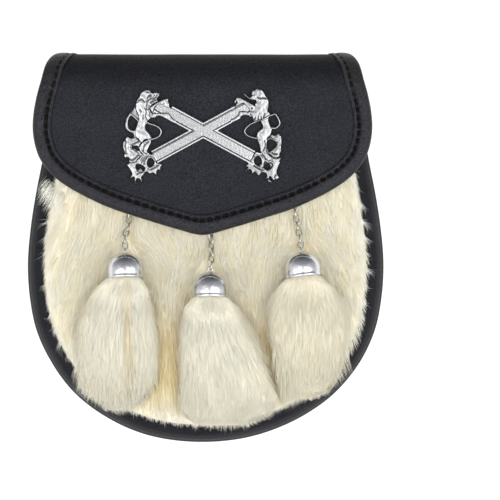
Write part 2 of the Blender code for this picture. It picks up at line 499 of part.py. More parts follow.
def flap_at(along, x, up=0.0):
    """A point of the flap: distance along it from its tip, x, and height over the middle of the leather."""
    def mid(s, xx):
        if s <= FOLD_START:
            y, z, share = TIP_Y + s, FLAP_Z, 1.0
        elif s >= FOLD_START + FOLD_LEN:
            y, z, share = FOLD_Y - (s - FOLD_START - FOLD_LEN), FLAP_BACK_Z, 0.0
        else:
            t = s - FOLD_START
            k = min(int(t / FOLD_LEN * 48), 47)
            while k < 47 and FOLD[k + 1][0] < t:
                k += 1
            while k > 0 and FOLD[k][0] > t:
                k -= 1
            f = (t - FOLD[k][0]) / (FOLD[k + 1][0] - FOLD[k][0])
            p = FOLD[k][1].lerp(FOLD[k + 1][1], f)
            y, z, share = p.x, p.y, max(0.0, 1.0 - t / (FOLD_LEN * 0.5))
        return Vector((xx + FLAP_X, y, z - FLAP_CROWN * share * (xx / 98.0) ** 2))

    p = mid(along, x)
    if up == 0.0:
        return p
    ds = mid(along + 0.5, x) - mid(along - 0.5, x)
    dx = mid(along, x + 0.5) - mid(along, x - 0.5)
    return p + dx.cross(ds).normalized() * up


# ---------------------------------------------------------------- leather
def build_body(half=24, columns=8):
    stations = outline(BODY, half)

    def ring(inset, z_of):
        return [(p.x - n.x * inset, p.y - n.y * inset, z_of(p.y)) for p, n in stations]

    def wall(rows):
        rings = []
        for inset, rise in rows:
            def z_of(y, rise=rise):
                rear = back_z(y) + LEATHER + GAP
                return rear + (FRONT_Z - rear) * rise
            rings.append(ring(inset, z_of))
        return ladder(rings, columns)

    outer, faces = wall(WALL_OUTER)
    inner, _ = wall(WALL_INNER)
    points, faces = thick(outer, inner, faces)
    solid("body_shell", points, faces, "black_leather")

    # the back: its face and its inside follow the same curve
    rings = [ring(2.0, back_z), ring(9.0, back_z)]
    def settle(p):
        return Vector((p.x, p.y, back_z(p.y)))
    low, faces = ladder(rings, columns, settle)
    high = [p + Vector((0, 0, LEATHER)) for p in low]
    points, faces = thick(high, low, faces)
    solid("back_panel", points, faces, "black_leather")

    # the pelt: fur side and skin side
    rings = [ring(inset, lambda y, z=z: z) for inset, z in PELT]
    top, faces = ladder(rings, columns)
    rings = [ring(inset + 0.0, lambda y: FRONT_Z + GAP) for inset in (11.4, 12.6, 14.2, 16.0)]
    low, _ = ladder(rings, columns)
    for ring_index in range(1):  # the outer ring of both sheets is the pelt's skin edge: the fur side starts above it
        for i in range(len(stations)):
            top[i] = Vector((top[i].x, top[i].y, top[i].z + 0.8))
    points, faces = thick(top, low, faces)
    pelt = solid("fur_front", points, faces, "ivory_fur")
    return pelt


def build_flap(half=34, columns=10):
    rows = [(along, w, 0.0) for along, w in FLAP]
    stations = outline(rows, half, lambda p: 1.9 if FOLD_START - 2 < p.y < FOLD_START + FOLD_LEN + 2 else 0.9)
    edge = [(p.y, p.x, n) for p, n in stations]  # along, x, outward normal (x, along)

    def sheet(up):
        ring = [(x, s, 0.0) for s, x, _ in edge]
        return ladder([ring], columns, lambda p: flap_at(p.y, p.x, up))

    front, faces = sheet(FLAP_LEATHER / 2)
    back, _ = sheet(-FLAP_LEATHER / 2)
    points, faces = thick(front, back, faces)
    solid("flap", points, faces, "black_leather")

    def section(i):
        s, x, n = edge[i]
        flat = 1.0 - 0.5 * smoothstep((s - FOLD_START + 8.0) / 12.0)  # the strip is drawn thin over the fold
        ring = [(out, up if abs(up) <= 1.5 else math.copysign(1.5 + (abs(up) - 1.5) * flat, up)) for out, up in BINDING]
        return [flap_at(s + n.y * out, x + n.x * out, up) for out, up in ring]

    points, faces = swept(section, edge, False)
    solid("flap_binding", points, faces, "black_binding", smooth=50.0)


# ---------------------------------------------------------------- metal
def build_badge():
    """Bars, lions and wires laid out as a distance field, its zero line followed and given thickness."""
    wires = []
    for _, radius, points in LION_WIRES:
        smooth = evenly(spline([(x, y, 0.0) for x, y in points], 8), 2 * len(points))
        wires += [(p.x, p.y, q.x, q.y, max(radius, BADGE_MIN_R)) for p, q in zip(smooth, smooth[1:])]
    ca, sa = math.cos(math.radians(BAR_ANGLE)), math.sin(math.radians(BAR_ANGLE))

    def bar(x, y, side):
        u, v = x * ca * side + y * sa, -x * sa * side + y * ca
        return max(abs(v) - BAR_WIDTH / 2, u - BAR_UP, -u - BAR_DOWN)

    def reach(x, y, ax, ay, bx, by):
        wx, wy = bx - ax, by - ay
        t = min(max(((x - ax) * wx + (y - ay) * wy) / max(wx * wx + wy * wy, 1e-9), 0.0), 1.0)
        return math.hypot(x - ax - wx * t, y - ay - wy * t)

    def gap(x, y, shape):
        """Distance to a closed outline, negative inside."""
        best, odd = 1e9, False
        for (ax, ay), (bx, by) in zip(shape, shape[1:] + shape[:1]):
            best = min(best, reach(x, y, ax, ay, bx, by))
            if (ay > y) != (by > y) and x < (bx - ax) * (y - ay) / (by - ay) + ax:
                odd = not odd
        return -best if odd else best

    def field(x, y):
        d = min(gap(x, y, shape) for _, shape in LIONS)
        d = max(d, max(-gap(x, y, shape) for _, shape in LION_HOLES))
        d = min(d, bar(x, y, 1), bar(x, y, -1))
        return min(d, min(reach(x, y, *wire[:4]) - wire[4] for wire in wires))

    nx, ny = int(96 / BADGE_CELL), int(62 / BADGE_CELL)
    x0, y0 = -nx * BADGE_CELL / 2 + 0.013, -34.0 + 0.017
    grid = [[field(x0 + i * BADGE_CELL, y0 + j * BADGE_CELL) for i in range(nx + 1)] for j in range(ny + 1)]
    crossing, follow = {}, {}

    def cut(a, b):
        key = (a, b) if a < b else (b, a)
        if key not in crossing:
            (ia, ja), (ib, jb) = key
            fa, fb = grid[ja][ia], grid[jb][ib]
            t = min(max(fa / (fa - fb), 0.06), 0.94)
            crossing[key] = (x0 + (ia + (ib - ia) * t) * BADGE_CELL, y0 + (ja + (jb - ja) * t) * BADGE_CELL)
        return key

    for j in range(ny):
        for i in range(nx):
            corners = [(i, j), (i + 1, j), (i + 1, j + 1), (i, j + 1)]
            for tri in ((corners[0], corners[1], corners[2]), (corners[0], corners[2], corners[3])):
                inside = [grid[b][a] < 0 for a, b in tri]
                if all(inside) or not any(inside):
                    continue
                ends = []
                for k in range(3):
                    if inside[k] != inside[(k + 1) % 3]:
                        ends.append((inside[k], cut(tri[k], tri[(k + 1) % 3])))
                start = next(e for out_going, e in ends if out_going)
                end = next(e for out_going, e in ends if not out_going)
                follow[start] = end
    loops = []
    while follow:
        first = next(iter(follow))
        loop, key = [], first
        while key in follow:
            loop.append(crossing[key])
            key = follow.pop(key)
        if len(loop) > 8:
            loops.append(loop)

    def thin(loop, tol=0.14):
        """Leave out points that lie on the line between their neighbours."""
        keep = [0]
        i, n = 0, len(loop)
        while i < n:
            j = i + 2
            while j <= n:
                a, b = Vector(loop[i]), Vector(loop[j % n])
                d = b - a
                if d.length < 1e-6 or d.length > 7.0:
                    break
                if any(abs(d.x * (loop[m % n][1] - a.y) - d.y * (loop[m % n][0] - a.x)) / d.length > tol
                       for m in range(i + 1, j)):
                    break
                j += 1
            i = j - 1
            if i < n:
                keep.append(i)
        return [loop[k] for k in keep]

    loops = [thin(l) for l in loops]
    loops = [l for l in loops if len(l) > 4]

    verts, edges = [], []
    for loop in loops:
        base = len(verts)
        verts += [Vector(p) for p in loop]
        edges += [(base + k, base + (k + 1) % len(loop)) for k in range(len(loop))]
    flat, _, tris, *_ = delaunay_2d_cdt(verts, edges, [], 0, 1e-5)

    def inside(x, y):
        odd = False
        for a, b in edges:
            (xa, ya), (xb, yb) = verts[a], verts[b]
            if (ya > y) != (yb > y) and x < (xb - xa) * (y - ya) / (yb - ya) + xa:
                odd = not odd
        return odd

    faces = []
    for t in tris:
        c = sum((flat[k] for k in t), Vector((0, 0))) / 3
        if inside(c.x, c.y):
            faces.append(tuple(t))

    def lay(p, up):
        x, y = p.x + BADGE_X, p.y + BADGE_Y
        return flap_at(y - TIP_Y, x - FLAP_X, FLAP_LEATHER / 2 + GAP + up)

    front = [lay(p, BADGE_THICK) for p in flat]
    back = [lay(p, 0.0) for p in flat]
    points, faces = thick(front, back, faces)
    used = sorted({i for f in faces for i in f})
    index = {old: new for new, old in enumerate(used)}
    solid("badge", [points[i] for i in used], [tuple(index[i] for i in f) for f in faces], "bright_metal", smooth=30.0)


def build_snap(pelt):
    """The closing stud, from the front panel through the pelt to the flap."""
    frame = Matrix.Translation((FLAP_X, 36.0, 0.0))
    top = FLAP_Z - FLAP_LEATHER / 2 - GAP - 0.1
    base = FRONT_Z + GAP
    points, faces = turned([(0, base), (5.0, base), (5.0, base + 1.2), (2.6, base + 1.6), (2.6, top - 3.0),
                            (5.4, top - 2.4), (5.4, top), (0, top)], 16, frame)
    solid("snap_stud", points, faces, "bright_metal")
    points, faces = turned([(0, 30.5), (6.4, 30.5), (6.4, 42.0), (0, 42.0)], 12, frame)
    boolean(pelt, cutter("hole_for_stud", points, faces), "DIFFERENCE")


def build_chains(pelt):
    for chain, links, roll, lean in CHAIN_ROWS:
        dense = spline(CHAINS[chain], 40)
        run = [0.0]
        for a, b in zip(dense, dense[1:]):
            run.append(run[-1] + (b - a).length)

        def at(s):
            j = max(i for i, r in enumerate(run) if r <= s)
            j = min(j, len(run) - 2)
            return dense[j].lerp(dense[j + 1], (s - run[j]) / (run[j + 1] - run[j]))

        for k in range(1, links + 1):
            s = k * LINK_PITCH
            frame = frame_at(at(s), at(s + 1.5) - at(s - 1.5), roll + 90.0 * k)
            points, faces = oval_link(frame)
            solid(f"chain_{chain}_{k:02d}", points, faces, "bright_metal", smooth=60.0)

        # the eye: a ring on a stem whose foot sits on the leather, with room for it in the pelt
        s = (links + 1) * LINK_PITCH
        centre = at(s)
        points, faces = oval_link(frame_at(centre, at(s + 1.5) - at(s - 1.5), roll + 90.0 * (links + 1)))
        eye = solid(f"chain_eye_{chain}", points, faces, "bright_metal", smooth=60.0)
        foot = Matrix.Translation((centre.x, centre.y + 0.4, 0.0))
        base, top = FRONT_Z + GAP, centre.z - LINK_WIDE / 2 + WIRE * 0.6
        points, faces = turned([(0, base), (2.2, base), (2.2, base + 0.8), (0.7, base + 0.8), (0.7, top), (0, top)], 8, foot)
        boolean(eye, cutter(f"stem_{chain}", points, faces), "UNION")
        points, faces = turned([(0, 30.5), (3.2, 30.5), (3.2, 42.0), (0, 42.0)], 8, foot)
        boolean(pelt, cutter(f"hole_for_{chain}", points, faces), "DIFFERENCE")

        # the cap: its loop is a link that is half sunk in the top of the bell
        loop = at(0.0)
        axis = Matrix.Rotation(math.radians(lean), 3, "Z") @ Matrix.Rotation(math.radians(-CAP_TILT), 3, "X") @ Vector((0, 1, 0))
        mouth = loop - axis * (CAP_H + 0.2)
        turn = Vector((0, 0, 1)).rotation_difference(axis).to_matrix().to_4x4()
        points, faces = turned([(0.0, CAP_H)] + [(r, h) for r, h in reversed(CAP[:-1])] + list(reversed(CAP_INSIDE)), 16,
                               Matrix.Translation(mouth) @ turn)
        cap = solid(f"tassel_cap_{chain}", points, faces, "bright_metal", smooth=50.0)
        points, faces = oval_link(frame_at(loop, axis, roll))
        boolean(cap, cutter(f"loop_{chain}", points, faces), "UNION")

        # the tassel: a neck inside the cap, then fur that lies on the pelt
        side = axis.cross(Vector((0, 0, 1))).normalized()
        up = side.cross(axis).normalized()
        rings = [[mouth + axis * h + side * (r * math.cos(2 * math.pi * i / 16)) + up * (r * math.sin(2 * math.pi * i / 16))
                  for i in range(16)] for r, h in NECK]
        for y, left, right, low, deep in TASSELS[chain]:
            cx, cz, hw, hz = (left + right) / 2, low + deep / 2, (right - left) / 2, deep / 2
            ring = []
            for i in range(16):
                a = 2 * math.pi * i / 16
                c, s = math.cos(a), math.sin(a)
                q = 1.0 if s > 0 else (abs(c) ** 3 + abs(s) ** 3) ** (-1 / 3)
                ring.append(Vector((cx + hw * c * q, y, cz + hz * s * q)))
            rings.append(ring)
        points, faces = swept(lambda i: rings[i], rings, False)
        solid(f"tassel_{chain}", points, faces, "ivory_fur", smooth=60.0)


def build_rings():
    """D rings that hang in leather tabs on the back; each rests its round side on the surface."""
    high, low = 3.0, RING_WIRE / 2
    for side, sx in (("left", -1), ("right", 1)):
        path = [(RING_HALF, 0.0)]
        path += [(RING_HALF * math.cos(a), 4.0 + RING_HALF * math.sin(a)) for a in (math.pi * k / 10 for k in range(11))]
        path += [(-RING_HALF, 0.0)]
        reach = 4.0 + RING_HALF
        centres = [Vector((x + sx * RING_X, RING_Y + y, high + (low - high) * y / reach)) for x, y in path]

        def section(i, centres=centres):
            n = len(centres)
            t = (centres[(i + 1) % n] - centres[i - 1]).normalized()
            if i in (0, n - 1):
                t = ((centres[(i + 1) % n] - centres[i]).normalized() + (centres[i] - centres[i - 1]).normalized()).normalized()
            out = t.cross(Vector((0, 0, 1))).normalized()
            r = RING_WIRE / 2
            stretch = 1.35 if i in (0, n - 1) else 1.0
            return [centres[i] + out * (r * math.cos(2 * math.pi * k / 8) * stretch)
                    + Vector((0, 0, 1)) * (r * math.sin(2 * math.pi * k / 8)) for k in range(8)]

        points, faces = swept(section, centres, True)
        solid(f"d_ring_{side}", points, faces, "bright_metal", smooth=50.0)

        # the tab in section: round the bar, with its two layers sewn together below it
        hole = RING_WIRE / 2 + GAP
        outer = hole + TAB_LEATHER
        steps = 12
        inner_loop = [(RING_Y + hole * math.cos(2 * math.pi * k / steps), high + hole * math.sin(2 * math.pi * k / steps))
                      for k in range(steps)]
        start, stop = math.radians(-128), math.radians(118)
        outer_loop = [(RING_Y + outer * math.cos(start + (stop - start) * k / 11),
                       high + outer * math.sin(start + (stop - start) * k / 11)) for k in range(12)]
        tail = [RING_Y - 7.0, RING_Y - 13.0, RING_Y - 20.0]
        outer_loop += [(y, min(back_z(y) - GAP, high + outer * 0.98)) for y in tail]
        outer_loop += [(y, min(back_z(y) - GAP, high + outer * 0.98) - 2 * TAB_LEATHER) for y in reversed(tail)]
        verts = [Vector(p) for p in outer_loop + inner_loop]
        n, m = len(outer_loop), len(inner_loop)
        edges = [(k, (k + 1) % n) for k in range(n)] + [(n + k, n + (k + 1) % m) for k in range(m)]
        flat, _, tris, *_ = delaunay_2d_cdt(verts, edges, [], 0, 1e-6)

        def inside(y, z):
            odd = False
            for a, b in edges:
                (ya, za), (yb, zb) = verts[a], verts[b]
                if (za > z) != (zb > z) and y < (yb - ya) * (z - za) / (zb - za) + ya:
                    odd = not odd
            return odd

        faces = []
        for t in tris:
            c = sum((flat[k] for k in t), Vector((0, 0))) / 3
            if inside(c.x, c.y):
                faces.append(tuple(t))
        x0, x1 = sx * RING_X - TAB_WIDE / 2, sx * RING_X + TAB_WIDE / 2
        points, faces = thick([Vector((x0, p.x, p.y)) for p in flat], [Vector((x1, p.x, p.y)) for p in flat], faces)
        solid(f"ring_tab_{side}", points, faces, "black_leather")


clear()
pelt = build_body()
build_flap()
build_badge()
build_snap(pelt)
build_chains(pelt)
build_rings()
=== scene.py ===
"""Sporran pouch: its looks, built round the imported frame.

A moulded leather pouch with a fur front, a bound flap with a saltire badge, and three fur tassels on chains.
The pouch lies on its back. Lengths in the tables are millimetres.
"""
import math

import bpy
import numpy as np
from mathutils import Matrix, Vector
from mathutils.geometry import delaunay_2d_cdt


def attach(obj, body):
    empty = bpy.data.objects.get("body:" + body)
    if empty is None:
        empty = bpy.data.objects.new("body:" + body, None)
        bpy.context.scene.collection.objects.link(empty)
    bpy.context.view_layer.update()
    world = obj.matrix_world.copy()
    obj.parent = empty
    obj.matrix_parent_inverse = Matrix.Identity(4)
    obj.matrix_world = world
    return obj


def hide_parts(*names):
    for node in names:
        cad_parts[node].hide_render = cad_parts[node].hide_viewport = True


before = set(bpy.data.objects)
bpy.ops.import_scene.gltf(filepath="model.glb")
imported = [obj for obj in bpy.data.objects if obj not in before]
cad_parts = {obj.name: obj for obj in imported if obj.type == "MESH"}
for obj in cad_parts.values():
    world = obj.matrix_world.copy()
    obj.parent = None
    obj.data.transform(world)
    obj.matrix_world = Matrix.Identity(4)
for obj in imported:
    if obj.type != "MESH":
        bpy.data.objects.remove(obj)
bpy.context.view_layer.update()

MM = 0.001
ORIGIN_Y = 0.0

# ---------------------------------------------------------------- sizes shared with the construction, mm
LEATHER = 2.0
FLAP_LEATHER = 2.2
GAP = 0.3
FRONT_Z = 32.3
RISE, RISE_FROM, RISE_OVER = 7.5, 0.0, 62.0
PELT_INSET = 10.4
FLAP_X, FLAP_Z, FLAP_BACK_Z, FLAP_CROWN = -1.7, 45.6, 4.0, 3.0
FOLD_Y, FOLD_RY, TIP_Y = 90.0, 20.8, 9.2
CAP_H, CAP_TILT = 15.0, 8.0
WIRE, LINK_LONG, LINK_WIDE, LINK_PITCH = 0.95, 5.8, 4.0, 3.95
RING_WIRE, RING_HALF, RING_Y, RING_X = 2.4, 12.0, 57.0, 55.0
TAB_WIDE, TAB_LEATHER = 20.0, 1.2

BODY = [  # y, half_width, centre_x
    (95.0, 85.6, 0.0), (78.0, 89.0, 0.0), (62.0, 92.7, 0.0), (49.6, 94.9, 0.0), (31.0, 98.6, 0.0), (12.5, 101.5, 0.0),
    (-10.7, 103.3, 0.0), (-29.3, 102.1, 0.0), (-47.9, 98.3, 0.0), (-66.4, 89.7, 0.0), (-85.0, 75.0, -0.6),
    (-98.9, 55.8, -1.2), (-108.2, 34.3, -2.0), (-113.0, 0.0, -2.0),
]
WALL_OUTER = [  # inset, rise (0 at the back, 1 at the front face)
    (3.0, 0.00), (0.8, 0.14), (0.0, 0.34), (0.0, 0.50), (0.9, 0.68), (3.2, 0.855), (6.8, 0.965), (11.2, 1.0),
]
WALL_INNER = [
    (5.2, 0.00), (2.9, 0.14), (2.0, 0.34), (2.0, 0.50), (2.8, 0.66), (4.8, 0.81), (7.8, 0.905), (12.2, 0.9335),
]
PELT = [  # inset, z of the fur's ground
    (11.4, 32.7), (10.5, 33.6), (10.9, 34.8), (13.0, 35.9), (17.0, 36.6), (24.0, 36.9),
]
FLAP = [  # along, half_width
    (155.7, 78.0), (130.7, 79.8), (114.7, 81.9), (105.2, 85.6), (97.2, 88.6), (87.1, 91.0), (77.5, 93.6), (68.2, 95.3),
    (59.0, 95.8), (49.7, 94.4), (43.1, 92.0), (37.0, 87.8), (30.9, 81.4), (25.6, 73.4), (19.9, 62.4), (15.1, 51.4),
    (10.5, 37.6), (6.2, 24.0), (2.5, 11.2), (0.7, 5.0), (0.0, 0.0),
]
BINDING = [  # out, up: once round the binding; the padded roll, the stitched groove and the flat strip are on top
    (-8.6, 1.2), (0.4, 1.2), (0.4, -1.3), (-7.6, -1.3), (-7.8, -1.9), (-7.6, -2.5), (-4.0, -2.6), (0.0, -2.6), (1.0, -2.3),
    (1.7, -1.5), (2.05, -0.6), (2.1, 0.3), (1.85, 1.2), (1.3, 2.0), (0.5, 2.55), (-0.6, 2.9), (-1.8, 3.02), (-3.0, 2.94),
    (-4.0, 2.74), (-4.7, 2.50), (-5.15, 2.26), (-5.5, 2.02), (-5.85, 1.95), (-6.2, 2.1), (-6.5, 2.34), (-6.85, 2.5),
    (-7.2, 2.5), (-7.6, 2.40), (-8.1, 2.30), (-8.45, 2.16), (-8.66, 1.9), (-8.68, 1.5),
]
GROOVE_OUT, STITCH_PITCH = -5.75, 5.1

CHAINS = {  # from the cap's loop up to the eye: x, y, z
    "left": [(-46.3, -3.0, 47.1), (-46.3, 2.6, 45.6), (-46.0, 7.6, 43.5), (-44.4, 12.5, 41.4), (-44.6, 18.9, 40.1),
             (-44.5, 28.0, 39.9), (-44.3, 42.0, 39.9)],
    "centre": [(2.9, -14.2, 47.1), (3.4, -8.0, 45.4), (3.5, -3.0, 43.4), (3.3, 2.0, 41.4), (3.0, 8.0, 40.1),
               (2.6, 16.0, 39.9), (2.0, 32.0, 39.9)],
    "right": [(55.0, -2.6, 47.1), (54.8, 2.6, 45.6), (53.9, 8.4, 43.4), (52.8, 14.0, 41.4), (51.7, 20.8, 40.1),
              (51.0, 30.0, 39.9), (50.6, 44.0, 39.9)],
}
CHAIN_ROWS = [("left", 9, 90.0, 1.0), ("centre", 8, 0.0, 0.0), ("right", 9, 90.0, 7.3)]  # chain, links, roll, lean
CAP = [(10.35, 0.0), (10.62, 0.25), (10.7, 0.7), (10.55, 1.15), (10.5, 1.6), (10.62, 3.2), (10.66, 5.0), (10.5, 7.0),
       (10.05, 8.9), (9.2, 10.7), (7.9, 12.3), (6.1, 13.6), (4.0, 14.5), (2.0, 14.92), (0.0, 15.0)]
CAP_INSIDE = [(0.0, 14.1), (5.0, 13.0), (8.4, 10.2), (9.6, 6.5), (9.8, 0.3), (10.0, 0.0)]
TASSELS = {  # y, left edge, right edge, lowest z, thickness
    "left": [(-21.5, -61.6, -34.0, 38.2, 17.6),
             (-31.0, -68.8, -29.8, 37.9, 15.8), (-41.5, -74.0, -27.4, 37.9, 14.4), (-56.0, -76.8, -25.6, 37.9, 13.4),
             (-68.0, -76.4, -25.6, 37.9, 12.4), (-78.0, -74.2, -28.1, 37.9, 10.8), (-84.2, -70.0, -32.8, 37.9, 8.6),
             (-89.0, -61.4, -37.6, 37.9, 6.2), (-93.8, -55.0, -44.6, 37.9, 4.2)],
    "centre": [(-32.0, -10.4, 16.2, 38.2, 17.6),
               (-41.0, -14.6, 23.2, 37.9, 15.8), (-52.0, -16.4, 29.2, 37.9, 14.4), (-65.0, -16.8, 35.2, 37.9, 13.4),
               (-78.0, -16.6, 40.6, 37.9, 12.2), (-89.5, -16.2, 44.2, 37.9, 9.4), (-97.0, -13.6, 35.4, 37.9, 6.6),
               (-102.6, -3.0, 22.0, 37.9, 4.2)],
    "right": [(-22.5, 42.0, 73.0, 38.2, 17.6),
              (-31.0, 36.0, 80.2, 37.9, 15.8), (-44.0, 34.8, 83.8, 37.9, 14.2), (-57.0, 36.8, 84.0, 37.9, 13.0),
              (-70.0, 40.2, 79.6, 37.9, 11.0), (-77.0, 42.2, 75.4, 37.9, 8.6), (-82.6, 43.6, 70.4, 37.9, 6.4),
              (-87.4, 44.0, 56.0, 37.9, 4.2)],
}

